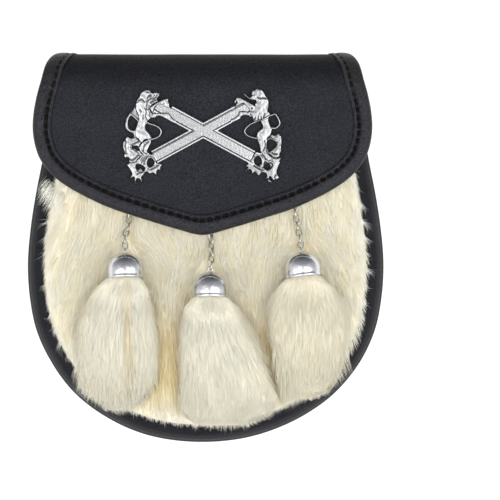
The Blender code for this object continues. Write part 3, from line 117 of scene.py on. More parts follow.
# ---------------------------------------------------------------- the badge
BADGE_X, BADGE_Y, BADGE_BASE = -1.2, 67.3, 0.15
BAR_ANGLE, BAR_WIDTH, BAR_UP, BAR_DOWN = 28.5, 8.2, 22.5, 32.0
LIONS = [  # name, outline: each is filled; x is across and y up from the crossing's middle
    ("left_body", [
        (-36.3, 21.1), (-35.3, 22.2), (-33.9, 23), (-32.4, 23.3), (-31, 23.2), (-30.2, 22.5), (-29.7, 21.7),
        (-28.4, 21.7), (-27.2, 22), (-26.1, 21.8), (-25.1, 21.6), (-24.9, 20.8), (-25.6, 19.3), (-26.5, 18.1),
        (-25.9, 17.3), (-26.1, 16.5), (-27.8, 15.6), (-29.3, 14.8), (-30.1, 13.7), (-30.4, 12.2), (-29.8, 10.4),
        (-28.7, 8.7), (-28.8, 7.2), (-30, 7), (-31, 6.1), (-32.2, 5), (-33.7, 3.6), (-34.1, 1.9), (-33.6, 0.5),
        (-32.2, -0.9), (-30.8, -2.6), (-30.2, -4.6), (-31.3, -5.2), (-32.8, -5.2), (-34.1, -5.6), (-34.8, -6.8),
        (-35.6, -7), (-36.4, -6.1), (-37.3, -4.8), (-38.2, -4.5), (-38.9, -3.5), (-39.3, -1.8), (-39.2, -0),
        (-38.8, 1.4), (-38.2, 3.2), (-37.7, 4.7), (-37.3, 5.7), (-37.1, 7.5), (-37.3, 9), (-38.2, 10.7),
        (-38.8, 12.1), (-38.9, 14.5), (-38.6, 16.2), (-37.9, 18), (-36.8, 19.6)]),
    ("left_foreleg", [
        (-30.4, 13.1), (-28.8, 14.7), (-26.6, 16), (-24.6, 17.1), (-22.6, 18), (-21, 18.4), (-20, 18.4),
        (-20.1, 17.1), (-19.9, 16.3), (-19.3, 15.2), (-19.5, 14.5), (-18.9, 13.3), (-20.8, 13.1), (-22.8, 14.2),
        (-24.7, 15.2), (-26.1, 14.9), (-27.6, 13.7), (-28.4, 12.6), (-28.7, 10.9), (-29.3, 10.4), (-30.1, 11.6)]),
    ("left_bar_end", [
        (-29.2, 10.9), (-28.4, 12.8), (-27.5, 14), (-26.1, 15.2), (-24.7, 15.6), (-17.9, 11.9), (-16.2, 4.9),
        (-17.9, 4.7), (-20.3, 6), (-22.6, 7.3), (-24.9, 8.3), (-26.5, 8.2), (-27.9, 7.2), (-28.7, 7.3), (-29.3, 8.7)]),
    ("left_foreleg_low", [
        (-29.2, 9.5), (-27.2, 10.1), (-24.9, 10.2), (-22, 10.1), (-19.9, 10), (-19.1, 9), (-17.6, 6.9), (-15.9, 5.6),
        (-16.5, 4.2), (-17.9, 4.7), (-20.3, 6), (-22.6, 7.3), (-24.9, 8.3), (-26.5, 8.2), (-28, 7.2), (-28.7, 7.3)]),
    ("left_tuft", [
        (-39.6, 14.2), (-38.9, 13.1), (-38.5, 11.3), (-37.4, 9.3), (-36.8, 7.2), (-37.1, 5.4), (-39.7, 7.5),
        (-41.4, 9.2), (-42.1, 10.5), (-40.8, 11.5), (-40.2, 12.5)]),
    ("left_loop", [
        (-42, 10.5), (-43.2, 8.9), (-44.2, 7.2), (-44.7, 5.4), (-45, 3.5), (-44.8, 1.9), (-44.2, 0.6), (-43.1, -0.4),
        (-41.7, -1.2), (-40.2, -1.5), (-38.6, -1.5), (-37.7, 3.2), (-36.7, 5.7), (-39.2, 7.5)]),
    ("left_link", [
        (-41.7, -0.7), (-39.4, -0.7), (-38.7, -2.3), (-38.5, -4.2), (-40.6, -4.5), (-39.9, -2.9), (-40.4, -1.9)]),
    ("left_brush", [
        (-43.7, -3.2), (-42.6, -3.7), (-40.9, -4.3), (-39.9, -4), (-38.5, -3.7), (-37.4, -4.8), (-36.5, -6),
        (-35.6, -6.9), (-36.3, -7.9), (-36.7, -9), (-36.7, -10.9), (-36, -12.4), (-35, -13.8), (-36.3, -15),
        (-37.7, -16.5), (-39.2, -18.2), (-40.6, -18.5), (-42.3, -18.4), (-42.9, -17.1), (-42.5, -16.2),
        (-43.3, -15.5), (-44.9, -15.8), (-45.7, -14.6), (-45.3, -12.8), (-45.8, -11.1), (-46.3, -9.4), (-46.2, -7.3),
        (-45.8, -6.1), (-45.2, -5.8), (-45, -4.7), (-44.4, -3.7)]),
    ("left_leg", [
        (-34.4, -7.3), (-32.4, -6.2), (-29.9, -5.5), (-29.9, -6.9), (-30.8, -8.8), (-31.7, -10.8), (-32, -11.9),
        (-31.3, -13), (-29.8, -13.6), (-28.3, -13.8), (-28, -15.6), (-31.9, -15.4), (-34.8, -13.5), (-35.9, -11.7),
        (-36.4, -9.7), (-35.6, -8.2)]),
    ("left_base", [
        (-44, -19.9), (-43.2, -19), (-42.3, -18.4), (-40.6, -18.3), (-39.1, -17.8), (-37.4, -16.3), (-36, -14.7),
        (-35, -13.5), (-33.6, -13.3), (-32.2, -14), (-30.9, -14.7), (-29.5, -14.7), (-28.1, -15.5), (-27.1, -16.9),
        (-27, -18.4), (-25.7, -18.9), (-24.3, -19.1), (-23.5, -19.6), (-24, -20.6), (-24.6, -21.5), (-24.3, -22.5),
        (-23.3, -23.4), (-24.6, -23), (-26.3, -22.9), (-26.8, -23.9), (-26.6, -25), (-26.6, -26.1), (-27.9, -25),
        (-29.2, -24.4), (-30.4, -25), (-31.2, -24.8), (-32.1, -24), (-33, -23.9), (-33.8, -24.7), (-34.5, -25.9),
        (-35.5, -26.8), (-35.3, -28.1), (-34.6, -30.2), (-35.7, -29.3), (-36.8, -27.9), (-38, -27.8), (-38.6, -28.6),
        (-38.8, -29.5), (-38.2, -30.7), (-39.3, -30.2), (-39.7, -28.7), (-39.5, -27.2), (-40.2, -26.8),
        (-41.4, -27.5), (-42.5, -28.3), (-42, -26.9), (-41.3, -25.6), (-41.1, -24.6), (-41.8, -23.2), (-42.6, -21.9),
        (-43.3, -20.8)]),
    ("right_body", [
        (30.7, 24.1), (31.7, 23.7), (32.8, 23.5), (33.7, 23.4), (34.4, 22.4), (35.3, 21.6), (35.8, 20.2),
        (36.6, 19.1), (37.4, 17.8), (37.8, 16.5), (37.7, 14.5), (37.4, 12.7), (37.1, 11.3), (38.1, 10.5),
        (38.5, 9.5), (38, 7.5), (37.5, 6.2), (38, 4.8), (38.4, 3.2), (39, 2), (39.9, 1.1), (39.4, -0.1),
        (39.2, -1.8), (38.7, -2.9), (37.3, -4.1), (37, -5.5), (36.7, -7.3), (36.6, -9.3), (36.2, -11), (34.8, -12.3),
        (33.4, -12.7), (32.5, -11.8), (32.5, -10.1), (31.9, -7.9), (31, -5.5), (30.4, -3.8), (30.8, -2),
        (31.7, -0.4), (33.3, 0.8), (34.1, 2.4), (33.7, 3.6), (33.2, 4.3), (32.9, 5.3), (31.1, 5), (29, 4.8),
        (28.6, 6.4), (28.1, 7.8), (26.8, 7.7), (26.1, 8.5), (25.2, 8.9), (26.1, 10.7), (28.1, 12.1), (29.2, 13.3),
        (29.6, 14.3), (29.5, 15.3), (30.4, 16.5), (30, 17.3), (29, 17.4), (27.4, 17.8), (26.5, 18.5), (26.5, 19.3),
        (27.6, 19.6), (27.5, 20.6), (27.6, 21.7), (28.2, 22.8), (29.4, 23.2)]),
    ("right_foreleg", [
        (18.9, 18.9), (20.7, 19), (22.4, 18.4), (24.4, 17.3), (26.7, 16.1), (28.5, 15.1), (29.9, 14.1), (29.3, 12.5),
        (28.5, 11.3), (27.1, 11.1), (25.9, 12.5), (24.6, 14.2), (23.4, 15.4), (22.3, 15.6), (20.9, 14.8),
        (19.4, 14.2), (18.7, 14.9), (19.2, 16.2), (18.7, 16.9)]),
    ("right_bar_end", [
        (18, 13.8), (22.3, 15.7), (23.7, 15.2), (27.6, 11.6), (28.7, 10.1), (27.3, 8.3), (25, 8.6), (23.5, 8.8),
        (21.5, 7.9), (19.2, 6.4), (16.6, 5)]),
    ("right_foreleg_low", [
        (28.8, 11.1), (25.6, 11), (22.7, 11.1), (20.6, 11), (20.2, 9.8), (19.3, 8.4), (17.7, 7.1), (15.9, 6.2),
        (16.3, 4.7), (19.2, 6.4), (21.5, 7.8), (23.5, 8.8), (25, 8.6), (27.3, 8.2), (29.3, 8.2)]),
    ("right_paw_tip", [
        (17.9, 15.8), (18, 17.3), (18.6, 17.7), (19, 17.1), (18.8, 15.9), (18.4, 15)]),
    ("right_brush", [
        (43.4, -1.1), (44, -2.3), (44.9, -2.7), (45.1, -4.1), (45.3, -5.6), (45.3, -7), (45, -8.7), (44.9, -10.2),
        (44.9, -12), (44, -13.4), (43.9, -14.9), (42.6, -15.9), (41.2, -16), (39.8, -15.2), (38.9, -14.2),
        (38, -13.9), (36.8, -13.1), (36.3, -11.7), (36.2, -9), (36.3, -6.7), (36.6, -5.3), (37.4, -4), (38.7, -2.6),
        (39.1, -1.7), (40.3, -2.5), (41.6, -2.5), (42.6, -1.9)]),
    ("right_base", [
        (30.4, -12.3), (32.3, -12.7), (33.7, -12.3), (35.2, -11.2), (36.2, -10.4), (36.6, -11.9), (37.2, -13.1),
        (38.3, -14.1), (39.8, -15), (41.6, -15.7), (43.2, -15.6), (44.9, -15.3), (44.5, -16.5), (43.9, -17.4),
        (44.3, -18.4), (43.8, -19.5), (43.2, -20.6), (42.9, -21.8), (42.4, -22.9), (42.4, -24.3), (43.1, -25.8),
        (43.9, -27.1), (42.7, -28.1), (42.3, -29), (41.6, -28), (40.6, -28.9), (39.7, -28.1), (39.1, -27.1),
        (38.2, -26.5), (38, -27.9), (39.2, -29), (40.4, -30.2), (38.6, -29.9), (36.9, -29.2), (37.2, -27.6),
        (35.9, -28.3), (36.2, -26.8), (36.4, -25.5), (35.9, -24.7), (34.7, -24.3), (33.7, -24.4), (32.8, -25.1),
        (31.9, -26.5), (31.3, -25.6), (30.5, -24.8), (29.6, -23.9), (28.9, -24.6), (28.1, -24.9), (27.7, -23.4),
        (27, -22.5), (25.6, -22.7), (23.7, -23.6), (25, -22.1), (25.7, -21.3), (24.3, -20.6), (24.8, -19.7),
        (25.6, -19.1), (25.6, -18.3), (26.5, -17.2), (27.9, -15.5), (29.3, -13.8)]),
]
LION_HOLES = [  # cut right through
    ("left_loop", [
        (-41.7, 8.2), (-40.8, 7.6), (-39.5, 6.6), (-38.2, 5.5), (-37.9, 4.8), (-38.5, 3.1), (-39.1, 1.3),
        (-39.6, 0.4), (-40.9, 0.4), (-42, 0.8), (-42.7, 1.7), (-43.1, 2.9), (-43.2, 4.3), (-42.9, 6.2), (-42.4, 7.4)]),
    ("left_brush", [
        (-40.7, -8.8), (-39.3, -9), (-37.9, -9.1), (-37.2, -10.1), (-37.3, -11.3), (-38.2, -11.4), (-39.6, -10.6),
        (-40.7, -10.2), (-41.1, -9.5)]),
    ("left_ring_a", [
        (-30.1, -16.2), (-29.1, -16.7), (-28.4, -17.7), (-28.1, -18.8), (-28.7, -19.9), (-29.7, -20.6), (-30.7, -21),
        (-31.5, -20.4), (-32, -19.3), (-32, -18.3), (-31.5, -17), (-30.9, -16.3)]),
    ("left_ring_b", [
        (-38.1, -20), (-36.7, -20.1), (-35.6, -20.3), (-34.5, -21), (-33.9, -22.1), (-34.3, -23), (-35.5, -21.7),
        (-36.7, -21.5), (-37.5, -22.4), (-38.3, -21.3)]),
    ("right_brush", [
        (37.5, -5.6), (38.3, -5.4), (39.5, -5.5), (40.9, -6.2), (42, -7.2), (42.3, -8.1), (41.5, -9.3),
        (40.4, -10.2), (39.5, -11.1), (38.6, -11.7), (38, -12.4), (37.3, -11.8), (36.9, -10.2), (36.9, -7.9),
        (37.1, -6.3)]),
    ("right_ring_a", [
        (31.2, -14.9), (32.3, -15.4), (33, -16.5), (33.3, -17.9), (33, -19.1), (32.1, -19.8), (30.9, -19.6),
        (29.9, -18.8), (29.4, -17.7), (29.6, -16.4), (30.3, -15.3)]),
    ("right_ring_b", [
        (35.5, -19.7), (36.7, -19.5), (37.9, -19.6), (38.4, -20.3), (38.3, -21.2), (37.5, -21.8), (36.3, -21.9),
        (35.4, -21.4), (35, -20.6)]),
]
LION_WIRES = [  # name, radius, middle line
    ("left_tail", 0.46, [
        (-32.1, 4.6), (-30.7, 3.8), (-28.7, 3.3), (-26.8, 2.5), (-25.2, 1.4), (-24.3, 0), (-24.3, -1.4), (-25.1, -3),
        (-26.6, -4.1), (-28.6, -4.8), (-30.7, -5.4), (-32.4, -6.1), (-34.1, -6.9), (-35.5, -8.1), (-36.2, -9.6),
        (-36, -11.2), (-35, -12.6), (-33.6, -13.6), (-31.6, -14.8)]),
    ("left_flank", 0.43, [
        (-32.1, 4.6), (-33.5, 3.4), (-33.9, 1.9), (-33.4, 0.5), (-32, -1), (-30.7, -2.7), (-29.9, -4.7)]),
    ("left_loop_edge", 0.43, [
        (-41.7, 9.7), (-40.3, 8.5), (-38.8, 7.1), (-37.3, 5.6)]),
    ("right_tail", 0.46, [
        (41.3, 9.5), (39.5, 8.9), (37.7, 8.2), (35.9, 7), (34, 6.1), (31.9, 5.4), (29.7, 4.7), (27.5, 3.8),
        (25.7, 2.5), (24.4, 1.1), (23.8, -0.3), (24.2, -1.6), (25.2, -2.7), (27, -3.6), (28.8, -4.1), (30.8, -4.6)]),
    ("right_loop", 0.49, [
        (41.3, 9.5), (42.4, 8.2), (43.3, 6.6), (43.9, 5), (43.8, 3.5), (42.8, 2.2), (41.6, 1.4), (40.1, 1.3),
        (38.9, 2)]),
    ("right_spike", 0.36, [
        (23.4, 20.9), (25.1, 19.5), (27.1, 18)]),
]
LION_DIPS = [  # hollows that don't go through
    [(-38.8, -19.5), (-37.4, -19.1), (-35.7, -19.6), (-34.2, -20.4), (-33.4, -21.8), (-33.9, -23.3),
     (-35.1, -24.4), (-36.4, -24.6), (-37.7, -23.6), (-38.6, -22.1), (-39.1, -20.6)],
    [(35.4, -17.4), (36.1, -18.1), (37, -18.8), (38.3, -18.4), (39.4, -18.5), (40.1, -19.6), (39.5, -21.3),
     (38.2, -22.6), (36.9, -22.9), (35.5, -22.5), (34.7, -21.2), (34.8, -19.2)],
]
LION_RIDGES = [
    [(-31.5, -15.5), (-32.7, -17.5), (-32.9, -20.4), (-32.3, -22.5), (-30.7, -23)],
    [(-31.5, -15.5), (-29.8, -15.5), (-28.1, -16.7), (-27.5, -18.5)],
    [(-30.6, -21.8), (-28.8, -20.8), (-26.4, -19.2)],
    [(-33.8, -14.5), (-35.1, -16.8), (-35.9, -19.1)],
    [(-32.7, -8.1), (-33.1, -9.8), (-33, -11.9)],
    [(-44.3, -4.4), (-44, -7.3), (-44.3, -9.6)],
    [(-41.7, -8.4), (-41.8, -10.2), (-40.2, -11.3), (-38.5, -12.6)],
    [(-29.1, 21.1), (-28.3, 20.9), (-29, 19.4), (-30.4, 18.8)],
    [(-25.6, 20.9), (-26.2, 19.4), (-27.5, 18.1), (-29.3, 17.6)],
    [(-26.4, 17.1), (-28.1, 16.4), (-29.8, 15.1)],
    [(-31.7, 16.2), (-31.5, 15), (-31.9, 13.6)],
    [(-32, 11.9), (-30.1, 10.2), (-29, 8.6)],
    [(33.7, 22.9), (35.4, 20.1), (37, 17.3), (37.3, 14.8), (36.8, 12.1)],
    [(33.4, 0.4), (31.5, -1.4), (30.9, -3.4), (31.6, -5.8), (32.6, -8.4), (33, -11.3)],
    [(29.3, -14.2), (28.8, -16.5), (29.2, -18.9), (30.8, -20.6), (32.8, -21.5)],
    [(30.8, -14), (32.5, -14.5), (33.8, -16.3), (34.1, -18.5), (33.6, -20.4)],
    [(37.5, -4.8), (39.2, -4.7), (41.3, -5.8), (42.8, -7.7)],
    [(44.5, -3.3), (44.8, -6.1), (44.5, -9), (44.4, -11.7)],
    [(36.2, -17.2), (37.2, -18.1), (38.3, -17.8)],
    [(39.7, -18.2), (40.5, -19.6)],
    [(27.9, 22), (28.2, 20.6), (29.3, 19.8)],
]
LION_GROOVES = [
    [(-32.2, 18.6), (-31.5, 19.9), (-30.1, 20.6)],
    [(-30.7, 18), (-29.1, 19.1), (-27.9, 20.7)],
    [(-29.2, 18.4), (-27.6, 18.9), (-26.6, 20.5)],
    [(-30.4, 16.2), (-28.7, 17), (-27.3, 17.7)],
    [(-32.1, 17.2), (-30.8, 18)],
    [(-32.8, 17.4), (-32.3, 15.7), (-32.8, 14), (-32.4, 12.3)],
    [(-31, 14.3), (-31, 12.8)],
    [(-30.7, 10.8), (-30.9, 8.7), (-29.9, 7.3)],
    [(-30, 9.8), (-29.2, 8.5)],
    [(-37.9, 16.3), (-36.6, 17.6), (-35.3, 18.1), (-33.8, 16.6)],
    [(-33.5, 13), (-32.8, 10.9), (-33.3, 8.7), (-32.2, 6)],
    [(-34.5, 8.9), (-34.6, 7)],
    [(-36.3, 12.1), (-35.6, 10.9)],
    [(-32.3, 22.3), (-31.3, 22)],
    [(-33.7, -8.1), (-34.4, -9.8), (-34.5, -11.6)],
    [(-31.5, -6.5), (-32.8, -7.7)],
    [(-37.8, -6.5), (-39.6, -7.5), (-41.3, -8.4), (-41.5, -10.3), (-40, -11.1), (-37.8, -12.5), (-36.7, -14.2)],
    [(-37.4, -13.9), (-38.9, -15.6), (-40.6, -16.9), (-42.1, -16.7)],
    [(-44.7, -5.9), (-44.9, -9), (-44.5, -11.3), (-44.4, -13.1)],
    [(-32.1, -14.9), (-33.7, -16.5), (-34.1, -19.2)],
    [(-33.8, -15.3), (-35.7, -19)],
    [(-30.1, -22.6), (-27.8, -21.4), (-25.5, -19.8)],
    [(-28.8, -14.9), (-26.8, -17.2)],
    [(-38.2, -25.2), (-37.3, -24.6)],
    [(-38.5, -4), (-37.2, -5.8), (-38, -6.7)],
    [(-27.6, 10.4), (-24.9, 10.4), (-20.1, 10.5), (-19, 9.2), (-17.1, 7)],
    [(-28, 12.1), (-27, 13.6), (-25.5, 14.7), (-24.4, 14.7), (-19.1, 11.8)],
    [(-22.7, 16.5), (-22.6, 15.6)],
    [(31.1, 19.1), (32.9, 18.5), (34.3, 18.7), (36.1, 18.3)],
    [(31.5, 6.5), (31.7, 8.2)],
    [(29.5, 6.2), (29.9, 7.6)],
    [(33.4, 6.3), (33.2, 8)],
    [(34.6, 7.8), (35.3, 9.8)],
    [(27, 9.5), (28.2, 8.3)],
    [(35.2, -5.9), (35.7, -7.6), (35.3, -9.9), (34.3, -11.7)],
    [(28.5, 11.2), (25.6, 11.1), (20.8, 11.1), (20.3, 9.8), (19.3, 8.4), (17.4, 7)],
    [(23.5, 15.2), (24.7, 14.1), (26.4, 12.1)],
    [(28.8, -20.1), (30.8, -21.4), (32.8, -22.5), (34.8, -23)],
    [(26.8, -17), (28.1, -15.6), (29.6, -14.3)],
    [(33.8, -13.5), (35.1, -15), (36, -16.5)],
    [(36.5, -11.7), (38, -13.8), (39.6, -15.2), (41.6, -15.9), (43.9, -15.3)],
    [(39.4, -12.5), (40.6, -13.5), (42.4, -13.5)],
    [(39.1, -1.7), (38, -3.6), (36.7, -4.7)],
    [(41.6, -25.4), (41, -27)],
    [(29.9, -23.4), (30.8, -24.4)],
    [(34, -24.4), (33.2, -23.4)],
    [(27.8, 20.1), (28.7, 20.2)],
    [(19.2, 17.1), (19.4, 16.2)],
    [(27.6, 12.8), (28.2, 12.9)],
]
RELIEF = {  # how high each part of the lions starts, and how much it rises from its edge
    "body": (1.25, 1.25), "foreleg": (1.75, 0.95), "foreleg_low": (1.65, 0.85), "paw_tip": (1.5, 0.8), "tuft": (0.75, 0.65),
    "loop": (0.9, 0.85), "link": (0.9, 0.7), "brush": (0.95, 0.95), "leg": (1.15, 1.0), "base": (1.0, 1.0),
}


# ---------------------------------------------------------------- helpers
def smoothstep(t):
    t = np.clip(t, 0.0, 1.0)
    return t * t * (3 - 2 * t)


def hermite(t, knots, values):
    """Values at t on a smooth line through the knots; values may have several columns."""
    knots, values = np.asarray(knots, float), np.asarray(values, float)
    flat = values.ndim == 1
    if flat:
        values = values[:, None]
    step = np.diff(knots)[:, None]
    slope = np.diff(values, axis=0) / step
    m = np.zeros_like(values)
    m[1:-1] = (slope[:-1] * step[1:] + slope[1:] * step[:-1]) / (step[1:] + step[:-1])
    m[0], m[-1] = slope[0], slope[-1]
    t = np.clip(np.asarray(t, float), knots[0], knots[-1])
    k = np.clip(np.searchsorted(knots, t, side="right") - 1, 0, len(knots) - 2)
    h = (knots[k + 1] - knots[k])
    u = ((t - knots[k]) / h)[..., None]
    h = h[..., None]
    out = ((2 * u**3 - 3 * u**2 + 1) * values[k] + (u**3 - 2 * u**2 + u) * h * m[k]
           + (-2 * u**3 + 3 * u**2) * values[k + 1] + (u**3 - u**2) * h * m[k + 1])
    return out[..., 0] if flat else out


def dense_line(points, per=24):
    """A dense smooth line through the points, by chord length."""
    pts = np.asarray(points, float)
    run = np.concatenate([[0.0], np.cumsum(np.maximum(np.linalg.norm(np.diff(pts, axis=0), axis=1), 1e-6))])
    return hermite(np.linspace(0, run[-1], per * (len(pts) - 1) + 1), run, pts)


def lengths(line):
    return np.concatenate([[0.0], np.cumsum(np.linalg.norm(np.diff(line, axis=0), axis=1))])


def evenly(line, count):
    run = lengths(line)
    want = np.linspace(0, run[-1], count)
    return np.stack([np.interp(want, run, line[:, k]) for k in range(line.shape[1])], axis=1)


def outline(rows, half):
    """Stations round an outline given by half widths: right side down to the bottom, then up the left side.

    Gives points and outward normals, 2 * half + 1 of each."""
    edge = [(w, y) for y, w, _ in rows]
    edge.append((-edge[-2][0], edge[-2][1]))
    dense = dense_line(edge)
    low = int(np.argmin(np.abs(dense[:, 0])))
    right = evenly(dense[: low + 1], half + 1)
    right[-1, 0] = 0.0
    pts = np.concatenate([right, (right * (-1, 1))[-2::-1]])
    ys = np.array([r[0] for r in rows][::-1])
    cs = np.array([r[2] for r in rows][::-1])
    t = np.empty_like(pts)
    t[1:-1] = pts[2:] - pts[:-2]
    t[0], t[-1] = pts[1] - pts[0], pts[-1] - pts[-2]
    t /= np.linalg.norm(t, axis=1)[:, None]
    n = np.stack([-t[:, 1], t[:, 0]], axis=1)
    pts = pts + np.stack([np.interp(pts[:, 1], ys, cs), np.zeros(len(pts))], axis=1)
    return pts, n


def link_mesh(name, verts, quads=None, tris=None):
    """A mesh from arrays, in table millimetres."""
    quads = np.zeros((0, 4), int) if quads is None else np.asarray(quads)
    tris = np.zeros((0, 3), int) if tris is None else np.asarray(tris)
    me = bpy.data.meshes.new(name)
    co = (np.asarray(verts, float) - (0.0, ORIGIN_Y, 0.0)) * MM
    me.vertices.add(len(co))
    me.vertices.foreach_set("co", co.astype(np.float32).ravel())
    loops = np.concatenate([quads.ravel(), tris.ravel()]).astype(np.int32)
    starts = np.concatenate([np.arange(len(quads)) * 4, len(quads) * 4 + np.arange(len(tris)) * 3]).astype(np.int32)
    me.loops.add(len(loops))
    me.loops.foreach_set("vertex_index", loops)
    me.polygons.add(len(starts))
    me.polygons.foreach_set("loop_start", starts)
    me.update(calc_edges=True)
    me.validate()
    return me


def place(me, mat, nodes=(), smooth=40.0):
    """The mesh as a piece on the pouch's body that stands for the nodes."""
    me.shade_smooth()
    if smooth is not None:
        me.set_sharp_from_angle(angle=math.radians(smooth))
    me.materials.append(mat)
    ob = bpy.data.objects.new(me.name, me)
    bpy.context.scene.collection.objects.link(ob)
    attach(ob, "root")
    if nodes:
        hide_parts(*nodes)
    return ob


def attribute(me, name, values):
    at = me.attributes.new(name, "FLOAT", "POINT")
    at.data.foreach_set("value", np.asarray(values, np.float32))


def lay_of(me, vectors):
    at = me.attributes.new("lay", "FLOAT_VECTOR", "POINT")
    at.data.foreach_set("vector", np.asarray(vectors, np.float32).ravel())


def grid_quads(rows, cols, wrap=False, base=0):
    """Quads between rows of points, cols in each."""
    i = np.arange(rows - 1)[:, None]
    k = np.arange(cols if wrap else cols - 1)[None, :]
    j = (k + 1) % cols
    a, b = i * cols, (i + 1) * cols
    return np.stack([a + k, a + j, b + j, b + k], axis=-1).reshape(-1, 4) + base


def straight_rows(ring, columns):
    """Rows straight across from the right half of a ring to its left half; the last point is the bottom one."""
    half = len(ring) // 2
    t = np.linspace(0, 1, columns + 1)[None, :, None]
    return ring[:half, None, :] * (1 - t) + ring[::-1][:half, None, :] * t


def sheet_of(rings, columns):
    """Points and faces (quads, tris) of a sheet: rings of stations, then rows straight across the innermost ring."""
    count, half = rings[0].shape[0], rings[0].shape[0] // 2
    pts = [r for r in rings]
    quads = [grid_quads(len(rings), count)]
    base = (len(rings) - 1) * count
    rows = straight_rows(rings[-1], columns)
    inner = rows[:, 1:-1]
    start = len(rings) * count
    idx = np.empty((half, columns + 1), int)
    idx[:, 0] = base + np.arange(half)
    idx[:, -1] = base + count - 1 - np.arange(half)
    idx[:, 1:-1] = start + np.arange(inner.shape[0] * inner.shape[1]).reshape(inner.shape[:2])
    pts.append(inner.reshape(-1, 3))
    quads.append(np.stack([idx[1:, :-1], idx[1:, 1:], idx[:-1, 1:], idx[:-1, :-1]], axis=-1).reshape(-1, 4))
    tris = np.stack([idx[-1, 1:], idx[-1, :-1], np.full(columns, base + half)], axis=-1)
    return np.concatenate(pts), np.concatenate(quads), tris


def thick(front, back, quads, tris):
    """A closed body from two matching sheets, joined all round their edge."""
    n = len(front)
    half = np.concatenate([quads[:, [a, (a + 1) % 4]] for a in range(4)] + [tris[:, [a, (a + 1) % 3]] for a in range(3)])
    key = set(map(tuple, half.tolist()))
    rim = np.array([(b, a, a + n, b + n) for a, b in key if (b, a) not in key], int)
    return (np.concatenate([front, back]), np.concatenate([quads, quads[:, ::-1] + n, rim]),
            np.concatenate([tris, tris[:, ::-1] + n]))


def outward(me):
    """Turns a closed mesh's faces to point out."""
    import bmesh
    bm = bmesh.new()
    bm.from_mesh(me)
    bmesh.ops.recalc_face_normals(bm, faces=bm.faces)
    bm.to_mesh(me)
    bm.free()
    return me


def turned(profile, segments, matrix):
    """A closed turned body whose profile starts and ends on the axis."""
    pts, rings, quads, tris = [], [], [], []
    a = np.linspace(0, 2 * np.pi, segments, endpoint=False)
    for r, h in profile:
        if r < 1e-6:
            rings.append([len(pts)])
            pts.append((0.0, 0.0, h))
        else:
            rings.append(list(range(len(pts), len(pts) + segments)))
            pts += [(r * math.cos(t), r * math.sin(t), h) for t in a]
    for p, q in zip(rings, rings[1:]):
        for k in range(segments):
            j = (k + 1) % segments
            if len(p) == 1:
                tris.append((p[0], q[k], q[j]))
            elif len(q) == 1:
                tris.append((p[k], q[0], p[j]))
            else:
                quads.append((p[k], q[k], q[j], p[j]))
    m = np.array(matrix)
    return np.array(pts) @ m[:3, :3].T + m[:3, 3], quads, tris


def tube(path, radius, sides, closed, up=(0.0, 0.0, 1.0)):
    """A round tube along a line of points; radius may be one number or one for each point."""
    path = np.asarray(path, float)
    n = len(path)
    if closed:
        t = np.roll(path, -1, 0) - np.roll(path, 1, 0)
    else:
        t = np.gradient(path, axis=0)
    t /= np.linalg.norm(t, axis=1)[:, None]
    s = np.cross(t, up)
    s /= np.maximum(np.linalg.norm(s, axis=1)[:, None], 1e-9)
    b = np.cross(s, t)
    a = np.linspace(0, 2 * np.pi, sides, endpoint=False)
    r = np.broadcast_to(np.asarray(radius, float), (n,))[:, None, None]
    pts = path[:, None] + r * (np.cos(a)[None, :, None] * s[:, None] + np.sin(a)[None, :, None] * b[:, None])
    quads = grid_quads(n, sides, wrap=True)
    if closed:
        k = np.arange(sides)
        quads = np.concatenate([quads, np.stack([(n - 1) * sides + k, (n - 1) * sides + (k + 1) % sides, (k + 1) % sides, k], 1)])
        return pts.reshape(-1, 3), quads, np.zeros((0, 3), int)
    pts = np.concatenate([pts.reshape(-1, 3), path[:1], path[-1:]])
    k = np.arange(sides)
    j = (k + 1) % sides
    tris = np.concatenate([np.stack([np.full(sides, n * sides), j, k], 1),
                           np.stack([np.full(sides, n * sides + 1), (n - 1) * sides + k, (n - 1) * sides + j], 1)])
    return pts, quads, tris


def joined(parts):
    """Several (points, quads, tris) as one."""
    pts, quads, tris, base = [], [], [], 0
    for p, q, t in parts:
        pts.append(np.asarray(p, float))
        if len(q):
            quads.append(np.asarray(q) + base)
        if len(t):
            tris.append(np.asarray(t) + base)
        base += len(p)
    return (np.concatenate(pts), np.concatenate(quads) if quads else np.zeros((0, 4), int),
            np.concatenate(tris) if tris else np.zeros((0, 3), int))


def ripple(x, y, scale, seed, octaves=5):
    """A smooth random field, about -1 to 1, with features of the given size."""
    rng = np.random.default_rng(seed)
    out = np.zeros(np.broadcast(x, y).shape)
    for _ in range(octaves):
        a, f, p = rng.uniform(0, 2 * np.pi), rng.uniform(0.6, 1.5) / scale, rng.uniform(0, 2 * np.pi)
        out = out + np.sin(2 * np.pi * f * (x * np.cos(a) + y * np.sin(a)) + p)
    return out / math.sqrt(octaves) / 1.3


def in_polygon(x, y, poly):
    x0, y0 = poly[:, 0][None], poly[:, 1][None]
    x1, y1 = np.roll(poly[:, 0], -1)[None], np.roll(poly[:, 1], -1)[None]
    hit = ((y0 > y[:, None]) != (y1 > y[:, None])) & (x[:, None] < (x1 - x0) * (y[:, None] - y0) / (y1 - y0 + 1e-12) + x0)
    return hit.sum(1) % 2 == 1


def polygon_gap(x, y, poly):
    """Distance to the nearest side of a polygon, negative inside it."""
    out = np.empty(len(x))
    a, b = poly, np.roll(poly, -1, 0)
    d = b - a
    dd = np.maximum((d * d).sum(1), 1e-12)
    for s in range(0, len(x), 8000):
        p = np.stack([x[s:s + 8000], y[s:s + 8000]], 1)[:, None]
        t = np.clip(((p - a[None]) * d[None]).sum(2) / dd[None], 0, 1)
        q = a[None] + d[None] * t[..., None]
        out[s:s + 8000] = np.sqrt(((p - q) ** 2).sum(2)).min(1)
    return np.where(in_polygon(x, y, poly), -out, out)


